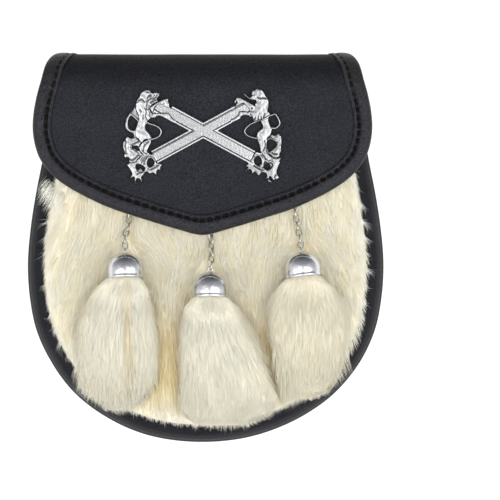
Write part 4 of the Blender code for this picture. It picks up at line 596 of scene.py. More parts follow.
# ---------------------------------------------------------------- materials
class Shader:
    """A material under construction: a Principled BSDF and the nodes that feed it."""

    def __init__(self, name):
        self.mat = bpy.data.materials.new(name)
        self.mat.use_nodes = True
        self.tree = self.mat.node_tree
        self.bsdf = self.tree.nodes["Principled BSDF"]

    def node(self, kind, **settings):
        nd = self.tree.nodes.new(kind)
        for key, value in settings.items():
            if hasattr(nd, key):
                setattr(nd, key, value)
            else:
                nd.inputs[key.replace("_", " ")].default_value = value
        return nd

    def link(self, a, b):
        self.tree.links.new(a, b)

    def set(self, **values):
        for key, value in values.items():
            self.bsdf.inputs[key.replace("_", " ")].default_value = value
        return self

    def place(self, scale=(1, 1, 1), rotation=(0, 0, 0)):
        co = self.node("ShaderNodeTexCoord")
        mp = self.node("ShaderNodeMapping")
        mp.inputs["Scale"].default_value = scale
        mp.inputs["Rotation"].default_value = rotation
        self.link(co.outputs["Object"], mp.inputs["Vector"])
        return mp.outputs["Vector"]

    def noise(self, vector, scale, detail=3.0, roughness=0.55):
        nd = self.node("ShaderNodeTexNoise")
        nd.inputs["Scale"].default_value = scale
        nd.inputs["Detail"].default_value = detail
        nd.inputs["Roughness"].default_value = roughness
        self.link(vector, nd.inputs["Vector"])
        return nd.outputs["Fac"]

    def ramp(self, value, stops):
        nd = self.node("ShaderNodeValToRGB")
        el = nd.color_ramp.elements
        while len(el) < len(stops):
            el.new(0.5)
        for e, (at, colour) in zip(el, stops):
            e.position = at
            e.color = (*colour, 1.0) if len(colour) == 3 else colour
        self.link(value, nd.inputs["Fac"])
        return nd.outputs["Color"]

    def between(self, value, low, high, a=0.0, b=1.0):
        nd = self.node("ShaderNodeMapRange")
        for key, v in (("From Min", low), ("From Max", high), ("To Min", a), ("To Max", b)):
            nd.inputs[key].default_value = v
        self.link(value, nd.inputs["Value"])
        return nd.outputs["Result"]

    def mix(self, factor, a, b, blend="MIX"):
        nd = self.node("ShaderNodeMix", data_type="RGBA", blend_type=blend)
        for sock, v in ((nd.inputs[0], factor), (nd.inputs[6], a), (nd.inputs[7], b)):
            if isinstance(v, (int, float)):
                sock.default_value = v
            elif isinstance(v, tuple):
                sock.default_value = (*v, 1.0)
            else:
                self.link(v, sock)
        return nd.outputs[2]

    def math(self, op, a, b=0.0):
        nd = self.node("ShaderNodeMath", operation=op)
        for sock, v in ((nd.inputs[0], a), (nd.inputs[1], b)):
            if isinstance(v, (int, float)):
                sock.default_value = v
            else:
                self.link(v, sock)
        return nd.outputs[0]

    def bump(self, height, strength, distance, normal=None):
        nd = self.node("ShaderNodeBump")
        nd.inputs["Strength"].default_value = strength
        nd.inputs["Distance"].default_value = distance
        self.link(height, nd.inputs["Height"])
        if normal is not None:
            self.link(normal, nd.inputs["Normal"])
        return nd.outputs["Normal"]

    def eased(self, share):
        """The surface's normal, drawn towards the way the coat faces there."""
        geo = self.node("ShaderNodeNewGeometry")
        lay = self.node("ShaderNodeAttribute", attribute_name="lay")
        own = self.node("ShaderNodeVectorMath", operation="SCALE")
        own.inputs["Scale"].default_value = 1.0 - share
        self.link(geo.outputs["Normal"], own.inputs[0])
        add = self.node("ShaderNodeVectorMath", operation="MULTIPLY_ADD")
        self.link(lay.outputs["Vector"], add.inputs[0])
        add.inputs[1].default_value = (share,) * 3
        self.link(own.outputs[0], add.inputs[2])
        unit = self.node("ShaderNodeVectorMath", operation="NORMALIZE")
        self.link(add.outputs[0], unit.inputs[0])
        return unit.outputs[0]

    def value(self, name):
        nd = self.node("ShaderNodeAttribute", attribute_name=name)
        return nd.outputs["Fac"]


def leather(name, dark, light, rough, grain, strength, specular=0.16, painted_shade=False, depth=0.00018):
    """Black leather: pores and creases of the given size (mm), and a little variation in colour and gloss."""
    s = Shader(name)
    v = s.place((1000, 1000, 1000))
    vor = s.node("ShaderNodeTexVoronoi", feature="DISTANCE_TO_EDGE")
    vor.inputs["Scale"].default_value = 1.0 / grain
    warp = s.node("ShaderNodeVectorMath", operation="MULTIPLY_ADD")
    wob = s.node("ShaderNodeTexNoise")
    wob.inputs["Scale"].default_value = 0.8 / grain
    s.link(v, wob.inputs["Vector"])
    s.link(wob.outputs["Color"], warp.inputs[0])
    warp.inputs[1].default_value = (0.7 * grain,) * 3
    s.link(v, warp.inputs[2])
    s.link(warp.outputs[0], vor.inputs["Vector"])
    cells = s.between(vor.outputs["Distance"], 0.0, 0.35)
    fine = s.noise(v, 2.6 / grain, 3.0, 0.6)
    speck = s.noise(v, 1.25, 3.0, 0.7)
    broad = s.noise(v, 0.05, 3.0, 0.55)
    height = s.math("ADD", s.math("MULTIPLY", cells, 0.7), s.math("MULTIPLY", fine, 0.5))
    s.link(s.bump(height, strength, depth), s.bsdf.inputs["Normal"])
    tone = s.math("ADD", s.math("MULTIPLY", speck, 0.88), s.math("MULTIPLY", broad, 0.12))
    col = s.ramp(tone, [(0.36, dark), (0.64, light)])
    # painted shade: a per-point attribute paints the leather darker, towards black, where shade falls on it
    if painted_shade:
        col = s.mix(s.value("painted_shade"), col, (0.0008, 0.0008, 0.001))
    s.link(col, s.bsdf.inputs["Base Color"])
    s.link(s.between(s.noise(v, 0.9 / grain, 2.0, 0.6), 0.3, 0.7, rough - 0.06, rough + 0.08), s.bsdf.inputs["Roughness"])
    s.set(Specular_IOR_Level=specular)
    return s.mat


def fur(name, base, share=0.29, dim=1.0):
    """Ivory hair: paler at its tips and warmer at its roots; the warm attribute adds tan, partly its own tone and
    partly painted shade where it lies deep. dim gives darker, shaded copies.
    """
    s = Shader(name)
    if base:
        v = s.place((1400, 160, 1400))
        streak = s.noise(v, 1.0, 3.0, 0.6)
        tone = s.between(streak, 0.3, 0.7)
        col = s.mix(tone, (0.92, 0.865, 0.70), (0.95, 0.905, 0.77))
        col = s.mix(s.value("warm"), col, (0.90, 0.77, 0.50))
        s.link(col, s.bsdf.inputs["Base Color"])
        s.link(s.bump(streak, 0.6, 0.0006), s.bsdf.inputs["Normal"])
        s.set(Roughness=0.9)
        return s.mat
    tint, along, warm = s.value("tint"), s.value("along"), s.value("warm")
    def shade(r, g, b):
        return (r * dim, g * dim, b * dim)

    root = s.mix(tint, shade(0.955, 0.914, 0.742), shade(0.966, 0.942, 0.825))
    tip = s.mix(tint, shade(0.968, 0.938, 0.79), shade(0.982, 0.967, 0.875))
    col = s.mix(along, root, tip)
    # warm: tan tone of its own, plus painted shade in valleys, round the caps and along the chains
    col = s.mix(warm, col, shade(0.925, 0.80, 0.475))
    s.link(col, s.bsdf.inputs["Base Color"])
    s.link(s.eased(share), s.bsdf.inputs["Normal"])
    s.set(Roughness=0.66, Specular_IOR_Level=0.25)
    return s.mat


def metal(name, colour, rough, wear=0.03, cavity=False, scratch=0.05, dent=0.0):
    s = Shader(name)
    v = s.place((1000, 1000, 1000))
    cloud = s.noise(v, 0.35, 3.0, 0.6)
    fine = s.noise(s.place((2600, 500, 2600)), 1.0, 2.0)
    base = s.mix(s.between(cloud, 0.35, 0.7), colour, tuple(c * 0.93 for c in colour))
    if cavity:
        # tarnish and painted shade: the cavity attribute darkens the metal in its hollows and low parts
        base = s.mix(s.value("cavity"), base, (0.10, 0.098, 0.094))
        grit = s.noise(v, 2.2, 2.0, 0.6)
        s.link(s.bump(grit, 0.12, 0.00010), s.bsdf.inputs["Normal"])
    else:
        dents = s.noise(s.place((230, 230, 230)), 1.0, 1.0)
        s.link(s.bump(dents, dent, 0.0008, s.bump(fine, scratch, 0.00004)), s.bsdf.inputs["Normal"])
    s.link(base, s.bsdf.inputs["Base Color"])
    s.link(s.between(cloud, 0.3, 0.7, rough, rough + wear), s.bsdf.inputs["Roughness"])
    s.set(Metallic=1.0)
    return s.mat


FLAP_LEATHER_MAT = leather("flap_leather", (0.0055, 0.006, 0.0085), (0.030, 0.031, 0.038), 0.50, 0.75, 0.85, 0.085, painted_shade=True)
BODY_LEATHER_MAT = leather("body_leather", (0.0015, 0.0016, 0.0024), (0.014, 0.0145, 0.019), 0.40, 0.7, 0.60, 0.13)
BINDING_LEATHER_MAT = leather("binding_leather", (0.007, 0.0073, 0.010), (0.046, 0.046, 0.060), 0.31, 1.0, 1.0, 0.28, painted_shade=True, depth=0.00036)
BACK_LEATHER_MAT = leather("back_leather", (0.007, 0.007, 0.008), (0.018, 0.018, 0.019), 0.6, 0.7, 0.5)
HAIR_MAT = fur("ivory_hair", False)
# painted shade: the tassels' hair and fringe are darker copies of the ivory hair, to cancel the extra light the raised
# tassels catch
TASSEL_HAIR_MAT = fur("tassel_hair", False, 0.48, 0.949)
FRINGE_MAT = fur("tassel_fringe", False, 0.48, 0.960)
FUR_MAT = fur("ivory_ground", True)
CHROME_MAT = metal("cap_chrome", (0.68, 0.69, 0.71), 0.21, 0.03, dent=0.28)
CHAIN_MAT = metal("chain_nickel", (0.56, 0.55, 0.51), 0.25, 0.06)
RING_MAT = metal("ring_nickel", (0.80, 0.80, 0.80), 0.18, 0.08)
BADGE_MAT = metal("badge_silver", (0.525, 0.532, 0.536), 0.24, 0.05, cavity=True)


def thread():
    s = Shader("thread_black")
    v = s.place((3000, 3000, 3000), (0.3, 0.4, 0.6))
    twist = s.noise(v, 1.0, 2.0)
    s.link(s.ramp(twist, [(0.3, (0.0015, 0.0015, 0.002)), (0.7, (0.006, 0.006, 0.007))]), s.bsdf.inputs["Base Color"])
    s.link(s.bump(twist, 0.5, 0.0001), s.bsdf.inputs["Normal"])
    s.set(Roughness=0.6, Specular_IOR_Level=0.15)
    return s.mat


THREAD_MAT = thread()


# ---------------------------------------------------------------- camera, light and floor
def build_stage():
    scene = bpy.context.scene
    scene.view_settings.view_transform = "Standard"
    scene.cycles.max_bounces = scene.cycles.diffuse_bounces = 16  # pale fur passes light on many times
    cam = bpy.data.cameras.new("camera")
    cam.sensor_width = 36.0
    away, across = 3.5, 0.2893
    cam.lens = 36.0 * away / across
    cam.clip_start, cam.clip_end = 0.1, 40.0
    ob = bpy.data.objects.new("camera", cam)
    ob.location = (0.0257, -0.0015, 0.030 + away)
    scene.collection.objects.link(ob)
    scene.camera = ob

    world = bpy.data.worlds.new("studio")
    scene.world = world
    world.use_nodes = True
    nt = world.node_tree
    bg = nt.nodes["Background"]
    co = nt.nodes.new("ShaderNodeTexCoord")
    sep = nt.nodes.new("ShaderNodeSeparateXYZ")
    nt.links.new(co.outputs["Generated"], sep.inputs[0])
    ramp = nt.nodes.new("ShaderNodeValToRGB")
    el = ramp.color_ramp.elements
    el[0].position, el[0].color = 0.0, (1.17, 1.17, 1.18, 1)
    el[1].position, el[1].color = 1.0, (0.07, 0.07, 0.075, 1)
    e = el.new(0.50)
    e.color = (0.98, 0.99, 1.01, 1)
    e = el.new(0.72)
    e.color = (0.42, 0.42, 0.43, 1)
    rng = nt.nodes.new("ShaderNodeMapRange")
    rng.inputs["From Min"].default_value, rng.inputs["From Max"].default_value = -1.0, 1.0
    nt.links.new(sep.outputs["Y"], rng.inputs["Value"])
    nt.links.new(rng.outputs["Result"], ramp.inputs["Fac"])
    nt.links.new(ramp.outputs["Color"], bg.inputs["Color"])
    bg.inputs["Strength"].default_value = 1.0

    for name, azimuth, polar, size, power in (("softbox_left", 192.0, 32.0, (0.66, 1.05), 5.6),
                                              ("softbox_right", -9.0, 30.0, (0.80, 1.15), 7.4)):
        light = bpy.data.lights.new(name, "AREA")
        light.shape = "RECTANGLE"
        light.size, light.size_y = size
        light.energy = power
        lo = bpy.data.objects.new(name, light)
        a, p, d = math.radians(azimuth), math.radians(polar), 1.2
        pos = Vector((d * math.sin(p) * math.cos(a), d * math.sin(p) * math.sin(a), d * math.cos(p)))
        lo.location = pos
        lo.rotation_euler = (-pos).to_track_quat("-Z", "Y").to_euler()
        scene.collection.objects.link(lo)

    me = bpy.data.meshes.new("floor")
    r = 4.0
    me.from_pydata([(-r, -r, 0), (r, -r, 0), (r, r, 0), (-r, r, 0)], [], [(0, 1, 2, 3)])
    s = Shader("floor_white")
    s.set(Base_Color=(0.30, 0.30, 0.30, 1.0), Roughness=0.9, Specular_IOR_Level=0.0,
          Emission_Color=(1.0, 1.0, 1.0, 1.0), Emission_Strength=0.86)
    me.materials.append(s.mat)
    floor = bpy.data.objects.new("floor", me)
    scene.collection.objects.link(floor)


# ---------------------------------------------------------------- leather
def back_z(y):
    return RISE * smoothstep((np.asarray(y, float) - RISE_FROM) / RISE_OVER)


def fold_table(steps=240):
    rz = (FLAP_Z - FLAP_BACK_Z) / 2
    a = np.linspace(0, np.pi, steps + 1)
    line = np.stack([FOLD_Y + FOLD_RY * np.sin(a), FLAP_Z - rz + rz * np.cos(a)], 1)
    return lengths(line), line


FOLD_RUN, FOLD_LINE = fold_table()
FOLD_LEN, FOLD_START = FOLD_RUN[-1], FOLD_Y - TIP_Y


def flap_mid(s, x):
    t = s - FOLD_START
    y = np.where(t <= 0, TIP_Y + s, np.where(t >= FOLD_LEN, FOLD_Y - (t - FOLD_LEN), np.interp(t, FOLD_RUN, FOLD_LINE[:, 0])))
    z = np.where(t <= 0, FLAP_Z, np.where(t >= FOLD_LEN, FLAP_BACK_Z, np.interp(t, FOLD_RUN, FOLD_LINE[:, 1])))
    share = np.clip(1.0 - t / (FOLD_LEN * 0.5), 0.0, 1.0)
    return np.stack([x + FLAP_X, y, z - FLAP_CROWN * share * (x / 98.0) ** 2], axis=-1)


def flap_points(s, x, up):
    """Points of the flap: distance along it from its tip, x, and height over the middle of its leather."""
    s, x, up = np.broadcast_arrays(np.asarray(s, float), np.asarray(x, float), np.asarray(up, float))
    ds = flap_mid(s + 0.5, x) - flap_mid(s - 0.5, x)
    dx = flap_mid(s, x + 0.5) - flap_mid(s, x - 0.5)
    n = np.cross(dx, ds)
    n /= np.linalg.norm(n, axis=-1)[..., None]
    return flap_mid(s, x) + n * up[..., None]


def smooth_rows(rows, count):
    return evenly(dense_line(rows, 16), count)


def build_body():
    half, columns = 110, 12
    pts, nrm = outline(BODY, half)

    def wall(rows):
        rings = []
        for inset, rise in smooth_rows(rows, 22):
            p = pts - nrm * inset
            rear = back_z(pts[:, 1]) + LEATHER + GAP
            # a pressed edge is never quite even
            wave = 0.12 * ripple(pts[:, 0], pts[:, 1], 46.0, 5) * (1 - abs(2 * rise - 1))
            rings.append(np.stack([p[:, 0], p[:, 1], rear + (FRONT_Z - rear) * rise + wave], 1))
        return sheet_of(rings, columns)

    outer, quads, tris = wall(WALL_OUTER)
    inner, _, _ = wall(WALL_INNER)
    me = outward(link_mesh("body_shell_leather", *thick(outer, inner, quads, tris)))
    place(me, BODY_LEATHER_MAT, ["body_shell"])

    rings = []
    for inset in (2.0, 2.25, 3.0, 5.0, 9.0, 14.0):
        p = pts - nrm * inset
        rings.append(np.stack([p[:, 0], p[:, 1], np.zeros(len(p))], 1))
    flat, quads, tris = sheet_of(rings, 30)
    round_off = np.zeros(len(flat))
    n = len(pts)
    for k, drop in enumerate((0.55, 0.28, 0.08)):
        round_off[k * n:(k + 1) * n] = drop
    low, high = flat.copy(), flat.copy()
    low[:, 2] = back_z(flat[:, 1]) + round_off
    high[:, 2] = back_z(flat[:, 1]) + LEATHER - round_off
    me = outward(link_mesh("back_panel_leather", *thick(high, low, quads, tris)))
    place(me, BACK_LEATHER_MAT, ["back_panel"])
    return pts, nrm


def eased_band(edge, nrm, run, out):
    """Points at each distance out from the flap's edge; well inside it, the line rounds the point in a wide curve."""
    p = edge[:, None] + nrm[:, None] * out[None, :, None]
    gap = abs(run[1] - run[0])
    k = np.arange(-int(24 / gap), int(24 / gap) + 1) * gap
    bell = np.exp(-(k / 8.0) ** 2 / 2)
    bell /= bell.sum()
    pad = len(k) // 2
    soft = np.empty_like(p)
    for c in range(p.shape[1]):
        for d in (0, 1):
            line = np.concatenate([np.full(pad, p[0, c, d]), p[:, c, d], np.full(pad, p[-1, c, d])])
            soft[:, c, d] = np.convolve(line, bell, "valid")
    share = np.exp(-(run / 30.0) ** 4)[:, None] * smoothstep((-out - 1.0) / 6.5)[None]
    return p + (soft - p) * share[..., None]


def build_flap():
    rows = [(s, w, 0.0) for s, w in FLAP]
    edge, nrm = outline(rows, 60)
    ring = np.stack([edge[:, 0], edge[:, 1], np.zeros(len(edge))], 1)
    flat, quads, tris = sheet_of([ring], 48)
    # finer stations along the fold come from the outline's own spacing; the field is very slightly uneven
    wave = 0.10 * ripple(flat[:, 0], flat[:, 1], 60.0, 11) + 0.035 * ripple(flat[:, 0], flat[:, 1], 17.0, 12)
    top = flap_points(flat[:, 1], flat[:, 0], FLAP_LEATHER / 2 + wave)
    low = flap_points(flat[:, 1], flat[:, 0], -FLAP_LEATHER / 2)
    me = outward(link_mesh("flap_leather", *thick(top, low, quads, tris)))
    fold_painted_shade = 0.75 * smoothstep((flat[:, 1] - 76.0) / 34.0)  # painted shade: the leather is painted darkest over the fold, where it turns away from the light
    attribute(me, "painted_shade", np.concatenate([fold_painted_shade, fold_painted_shade]))
    place(me, FLAP_LEATHER_MAT, ["flap"])

    # the binding: the groove is deeper and wider where each stitch lies
    edge, nrm = outline(rows, 400)
    run = lengths(edge)
    run -= run[len(run) // 2]
    beat = 0.5 + 0.5 * np.cos(2 * np.pi * run / STITCH_PITCH)
    out = np.array([p[0] for p in BINDING])[None, :]
    band = eased_band(edge, nrm, run, out[0])
    up = np.array([p[1] for p in BINDING])[None, :]
    in_groove = np.exp(-((out - GROOVE_OUT) / 0.95) ** 2) * (up > 0.5)
    lip = np.exp(-((out + 7.2) / 0.5) ** 2) * (up > 0.5)
    pad = np.exp(-((out + 1.8) / 2.6) ** 2) * (up > 0)
    wobble = 0.12 * ripple(edge[:, 0], edge[:, 1], 30.0, 21)[:, None]
    thin = (1.0 - 0.5 * smoothstep((edge[:, 1] - FOLD_START + 8.0) / 12.0))[:, None]  # the strip is drawn thin over the fold
    slot = smoothstep((beat[:, None] - 0.03 - 0.05 * ripple(edge[:, 0], edge[:, 1], 6.0, 22)[:, None]) / 0.22)
    lip = np.exp(-((out + 6.75) / 0.45) ** 2) * (up > 0.5)
    ragged = np.clip(0.5 + 0.9 * ripple(edge[:, 0], edge[:, 1], 1.7, 23, 6), 0, 1)[:, None]
    swell = np.exp(-((out + 4.5) / 0.6) ** 2) * (up > 0.5)
    up = up - in_groove * (0.02 + 0.60 * slot) + lip * (0.05 + 0.30 * slot + 0.22 * ragged) + swell * 0.18 * slot + pad * wobble
    # painted light: the roll is painted lighter along its middle as a highlight and darker at its edges as shade
    tone = np.interp(out, [-8.7, -8.2, -7.4, -6.2, -4.8, -3.4, -1.6, 0.2, 1.4, 2.1], [0.85, 0.50, 0.42, 0.42, 0.55, 0.40, 0.30, 0.48, 0.80, 0.92])
    # painted highlight on the ragged ridge inside the stitches; painted shade in the groove, darkest in the stitch
    # slots
    painted_shade = np.clip(tone - 0.42 * lip * ragged, 0, 1) + 2.0 * in_groove**1.3 * (0.10 + 0.90 * slot)
    # the underside is painted half dark as shade
    painted_shade = np.clip(np.where(up > 0, painted_shade, 0.6), 0, 1)
    # painted shade, darker towards the fold
    painted_shade = np.maximum(painted_shade, 0.95 * smoothstep((edge[:, 1] - 62.0) / 36.0)[:, None] * (0.50 + 0.50 * smoothstep((out + 6.5) / 3.0)))
    up = np.where(np.abs(up) <= 1.3, up, np.sign(up) * (1.3 + (np.abs(up) - 1.3) * thin))
    out = np.broadcast_to(out, up.shape)
    pts = flap_points(band[..., 1], band[..., 0], up)
    m = len(BINDING)
    quads = grid_quads(len(edge), m, wrap=True)
    flat = pts.reshape(-1, 3)
    ends = joined([(flat, quads, [])])
    cap = np.array([np.arange(m)[::-1], (len(edge) - 1) * m + np.arange(m)])
    tris = []
    for order in cap:
        for k in range(1, m - 1):
            tris.append((order[0], order[k], order[k + 1]))
    me = outward(link_mesh("flap_binding_leather", ends[0], ends[1], np.array(tris)))
    attribute(me, "painted_shade", np.broadcast_to(painted_shade, up.shape).ravel())
    place(me, BINDING_LEATHER_MAT, ["flap_binding"], smooth=60.0)

    # the stitches: short waxed threads that dive at both ends
    parts = []
    rng = np.random.default_rng(3)
    middle = eased_band(edge, nrm, run, np.array([GROOVE_OUT]))[:, 0]
    ex, ey = middle[:, 0], middle[:, 1]
    for at in np.arange(math.ceil(run[0] / STITCH_PITCH) + 1, math.floor(run[-1] / STITCH_PITCH)):
        t = np.linspace(-0.5, 0.5, 9)
        r = at * STITCH_PITCH + t * 3.9 + rng.uniform(-0.12, 0.12)
        slant = t * 0.35 + rng.uniform(-0.06, 0.06)
        x, y = np.interp(r, run, ex), np.interp(r, run, ey)
        nx, ny = np.interp(r, run, nrm[:, 0]), np.interp(r, run, nrm[:, 1])
        rise = 1.58 - 3.0 * np.abs(t) ** 2.6 + rng.uniform(-0.05, 0.05)
        line = flap_points(y + ny * slant, x + nx * slant, rise)
        parts.append(tube(line, 0.30 * np.sqrt(np.clip(1 - (1.9 * t) ** 4, 0.12, 1)), 8, False))
    me = outward(link_mesh("flap_stitches", *joined(parts)))
    place(me, THREAD_MAT, [], smooth=None)


# ---------------------------------------------------------------- badge
def line_gap(x, y, line):
    """Distance to an open line of points."""
    a, d = line[:-1], np.diff(line, axis=0)
    dd = np.maximum((d * d).sum(1), 1e-12)
    p = np.stack([x.ravel(), y.ravel()], 1)[:, None]
    t = np.clip(((p - a[None]) * d[None]).sum(2) / dd[None], 0, 1)
    q = a[None] + d[None] * t[..., None]
    return np.sqrt(((p - q) ** 2).sum(2)).min(1).reshape(x.shape)


def rounded(points, per=3):
    """A closed outline with its corners eased."""
    p = np.asarray(points, float)
    p = np.concatenate([p[-2:], p, p[:3]])
    run = lengths(p)
    want = np.concatenate([np.linspace(run[k], run[k + 1], per, endpoint=False) for k in range(2, len(p) - 3)])
    return hermite(want, run, p)


def build_badge():
    step = 0.25
    x0, x1, y0, y1 = -48.0, 47.0, -32.0, 25.0
    nx, ny = int((x1 - x0) / step), int((y1 - y0) / step)
    gx = x0 + 0.013 + np.arange(nx + 1) * step
    gy = y0 + 0.017 + np.arange(ny + 1) * step
    X, Y = np.meshgrid(gx, gy)
    ca, sa = math.cos(math.radians(BAR_ANGLE)), math.sin(math.radians(BAR_ANGLE))

    def window(points, pad):
        lo, hi = points.min(0) - pad, points.max(0) + pad
        return (slice(*np.searchsorted(gy, (lo[1], hi[1]))), slice(*np.searchsorted(gx, (lo[0], hi[0]))))

    def shape_gap(points, pad=2.5):
        win = window(points, pad)
        return win, polygon_gap(X[win].ravel(), Y[win].ravel(), points).reshape(X[win].shape)

    def bar(side, up, down):
        u, v = X * ca * side + Y * sa, -X * sa * side + Y * ca
        return np.maximum(np.maximum(u - up, -u - down), np.abs(v) - BAR_WIDTH / 2), u, v

    # outline of the whole
    lions = np.full(X.shape, 9.0)
    gaps = {}
    for name, points in LIONS:
        win, d = shape_gap(rounded(points))
        gaps[name] = (win, d)
        lions[win] = np.minimum(lions[win], d)
    holes = np.full(X.shape, 9.0)
    for _, points in LION_HOLES:
        win, d = shape_gap(rounded(points))
        holes[win] = np.minimum(holes[win], d)
    lions = np.maximum(lions, -holes)
    d_all = np.minimum(lions, np.minimum(bar(1, BAR_UP, BAR_DOWN)[0], bar(-1, BAR_UP, BAR_DOWN)[0]))

    # the bars: a rounded border, a thin dark line, then the field with its fine tooling
    d1, u1, v1 = bar(1, BAR_UP + 8.0, BAR_DOWN + 3.0)
    d2, u2, v2 = bar(-1, BAR_UP + 8.0, BAR_DOWN + 3.0)
    e1, e2 = -d1, -d2
    e = np.maximum(e1, e2)
    e_side = np.where(e1 > e2, BAR_WIDTH / 2 - np.abs(v1), BAR_WIDTH / 2 - np.abs(v2))
    rng = np.random.default_rng(4)
    grain = rng.uniform(-1, 1, X.shape)
    grain = (grain + np.roll(grain, 1, 0) + np.roll(grain, 1, 1) + np.roll(grain, (1, 1), (0, 1))) / 2.0
    border = 1.55 + 0.75 * np.sqrt(np.clip(1 - np.abs((e_side - 0.62) / 0.80) ** 3.2, 0, 1))
    field = 1.74 + 0.011 * grain + 0.015 * ripple(X, Y, 2.4, 15)
    h_bar = np.where(e_side < 1.34, border, np.where(e_side < 1.58, 1.34, field))
    # painted shade: the thin groove between border and field is painted dark; the tooled field has a duller tone of
    # its own
    cav_bar = np.where((e_side > 1.30) & (e_side < 1.62), 0.66, np.where(e_side > 1.58, 0.31 + 0.08 * grain, 0.0))
    wide = (e1 > e2) & (v1 > 0) & (e_side > 1.12) & (e_side < 2.0)
    rope = 0.5 + 0.5 * np.sin(u1 * 2 * np.pi / 0.85 + 1.2 * e_side)
    h_bar = np.where(wide, 1.12 + 0.42 * rope, h_bar)
    # painted shade in the hollows between the rope's twists
    cav_bar = np.where(wide, 0.92 - 0.35 * rope, cav_bar)
    h_bar = np.where(e > 0, h_bar, 1.25)

    # the lions: each part rises from its own edge
    h_lion = np.full(X.shape, -1.0)
    for name, (win, d) in gaps.items():
        part = name.split("_", 1)[1]
        if part == "bar_end":
            continue
        base, rise = RELIEF[part]
        inner = np.minimum(-d, holes[win])
        r = 0.55
        edge = np.sqrt(1 - (1 - np.clip(inner / r, 0, 1)) ** 2)
        h = base + rise * edge + 0.16 * smoothstep(inner / 3.6)
        h_lion[win] = np.where(inner > 0, np.maximum(h_lion[win], h), h_lion[win])
    cast = 0.045 * ripple(X, Y, 3.4, 61, 6) + 0.008 * ripple(X, Y, 1.1, 62, 6)
    h_lion = np.where(h_lion > 0, h_lion + cast, h_lion)
    for points in LION_DIPS:
        win, d = shape_gap(rounded(points))
        h_lion[win] = np.where(h_lion[win] > 0, h_lion[win] - 1.05 * smoothstep((-d + 0.2) / 0.9), h_lion[win])
    for x, y, r in ((-36.1, -22.7, 1.0), (34.6, -22.1, 0.9)):  # a boss in each hollow
        win = window(np.array([[x, y]]), 1.6)
        h_lion[win] += 0.9 * np.exp(-(np.hypot(X[win] - x, Y[win] - y) / r) ** 2) * (h_lion[win] > 0)
    for points in LION_RIDGES:
        line = dense_line(points, 4)
        win = window(line, 1.4)
        h_lion[win] += 0.40 * np.exp(-(line_gap(X[win], Y[win], line) / 0.42) ** 2) * (h_lion[win] > 0)
    for _, radius, points in LION_WIRES:
        line = dense_line(points, 5)
        win = window(line, 1.6)
        d = line_gap(X[win], Y[win], line)
        radius = radius + 0.12
        d_all[win] = np.minimum(d_all[win], d - radius)
        wire = 1.15 + 1.25 * np.sqrt(np.clip(1 - np.clip(d / radius, 0, 1) ** 3, 0, 1))
        wire = np.where(h_lion[win] > 0, np.maximum(wire, h_lion[win] + 0.45 * np.sqrt(np.clip(1 - (d / radius) ** 2, 0, 1))), wire)
        h_lion[win] = np.where(d < radius, wire, h_lion[win])
    # the groove lines: cut into the relief, and the same mask paints shade into them through the cavity below
    painted_shade = np.zeros(X.shape)
    for points in LION_GROOVES:
        line = dense_line(points, 4)
        win = window(line, 1.2)
        painted_shade[win] = np.maximum(painted_shade[win], np.exp(-(line_gap(X[win], Y[win], line) / 0.30) ** 2))
    h_lion = np.where(h_lion > 0, np.maximum(h_lion - 0.62 * painted_shade, 0.55), h_lion)
    lion_on = h_lion >= np.where(e > 0, h_bar, 0.2)
    height = np.where(lion_on, h_lion, np.maximum(h_bar, 1.0))
    edge_fall = np.clip(-d_all / 0.32, 0, 1)
    height = height * (0.66 + 0.34 * np.sqrt(1 - (1 - edge_fall) ** 2))

    # tarnish and painted shade: the casting is painted darker where it is hollow and where it lies low, partly as
    # tarnish and partly as the shade that falls there
    soft = height.copy()
    for shift in range(1, 4):
        soft = (soft + np.roll(soft, shift, 0) + np.roll(soft, -shift, 0) + np.roll(soft, shift, 1) + np.roll(soft, -shift, 1)) / 5
    hollow = np.clip((soft - height - 0.03) / 0.28, 0, 1) * (d_all < -0.3)
    deep = 0.33 + 0.32 * (1.0 - smoothstep((height - 1.45) / 1.25))
    cavity = np.where(lion_on, np.maximum(np.maximum(0.72 * hollow, 0.70 * painted_shade), 0.8 * deep), np.maximum(cav_bar, 0.5 * hollow))
    # painted shade: the right lion is painted darker all over, as if it caught less light than the left
    cavity = np.clip(cavity + np.where(lion_on & (X > 15.0), 0.14, 0.0), 0, 1)

    inside = d_all < 0
    verts, vh, vc, key = [], [], [], {}
    flat_d, flat_h, flat_c = d_all, height, cavity

    def node_at(j, i):
        k = (j, i)
        if k not in key:
            key[k] = len(verts)
            verts.append((gx[i], gy[j]))
            vh.append(flat_h[j, i])
            vc.append(flat_c[j, i])
        return key[k]

    def cross_at(a, b):
        k = (a, b) if a < b else (b, a)
        if k not in key:
            (ja, ia), (jb, ib) = k
            fa, fb = flat_d[ja, ia], flat_d[jb, ib]
            t = min(max(fa / (fa - fb), 0.05), 0.95)
            key[k] = len(verts)
            verts.append((gx[ia] + (gx[ib] - gx[ia]) * t, gy[ja] + (gy[jb] - gy[ja]) * t))
            src = (ja, ia) if fa < fb else (jb, ib)
            vh.append(flat_h[src] * 0.72)
            vc.append(flat_c[src])
        return key[k]

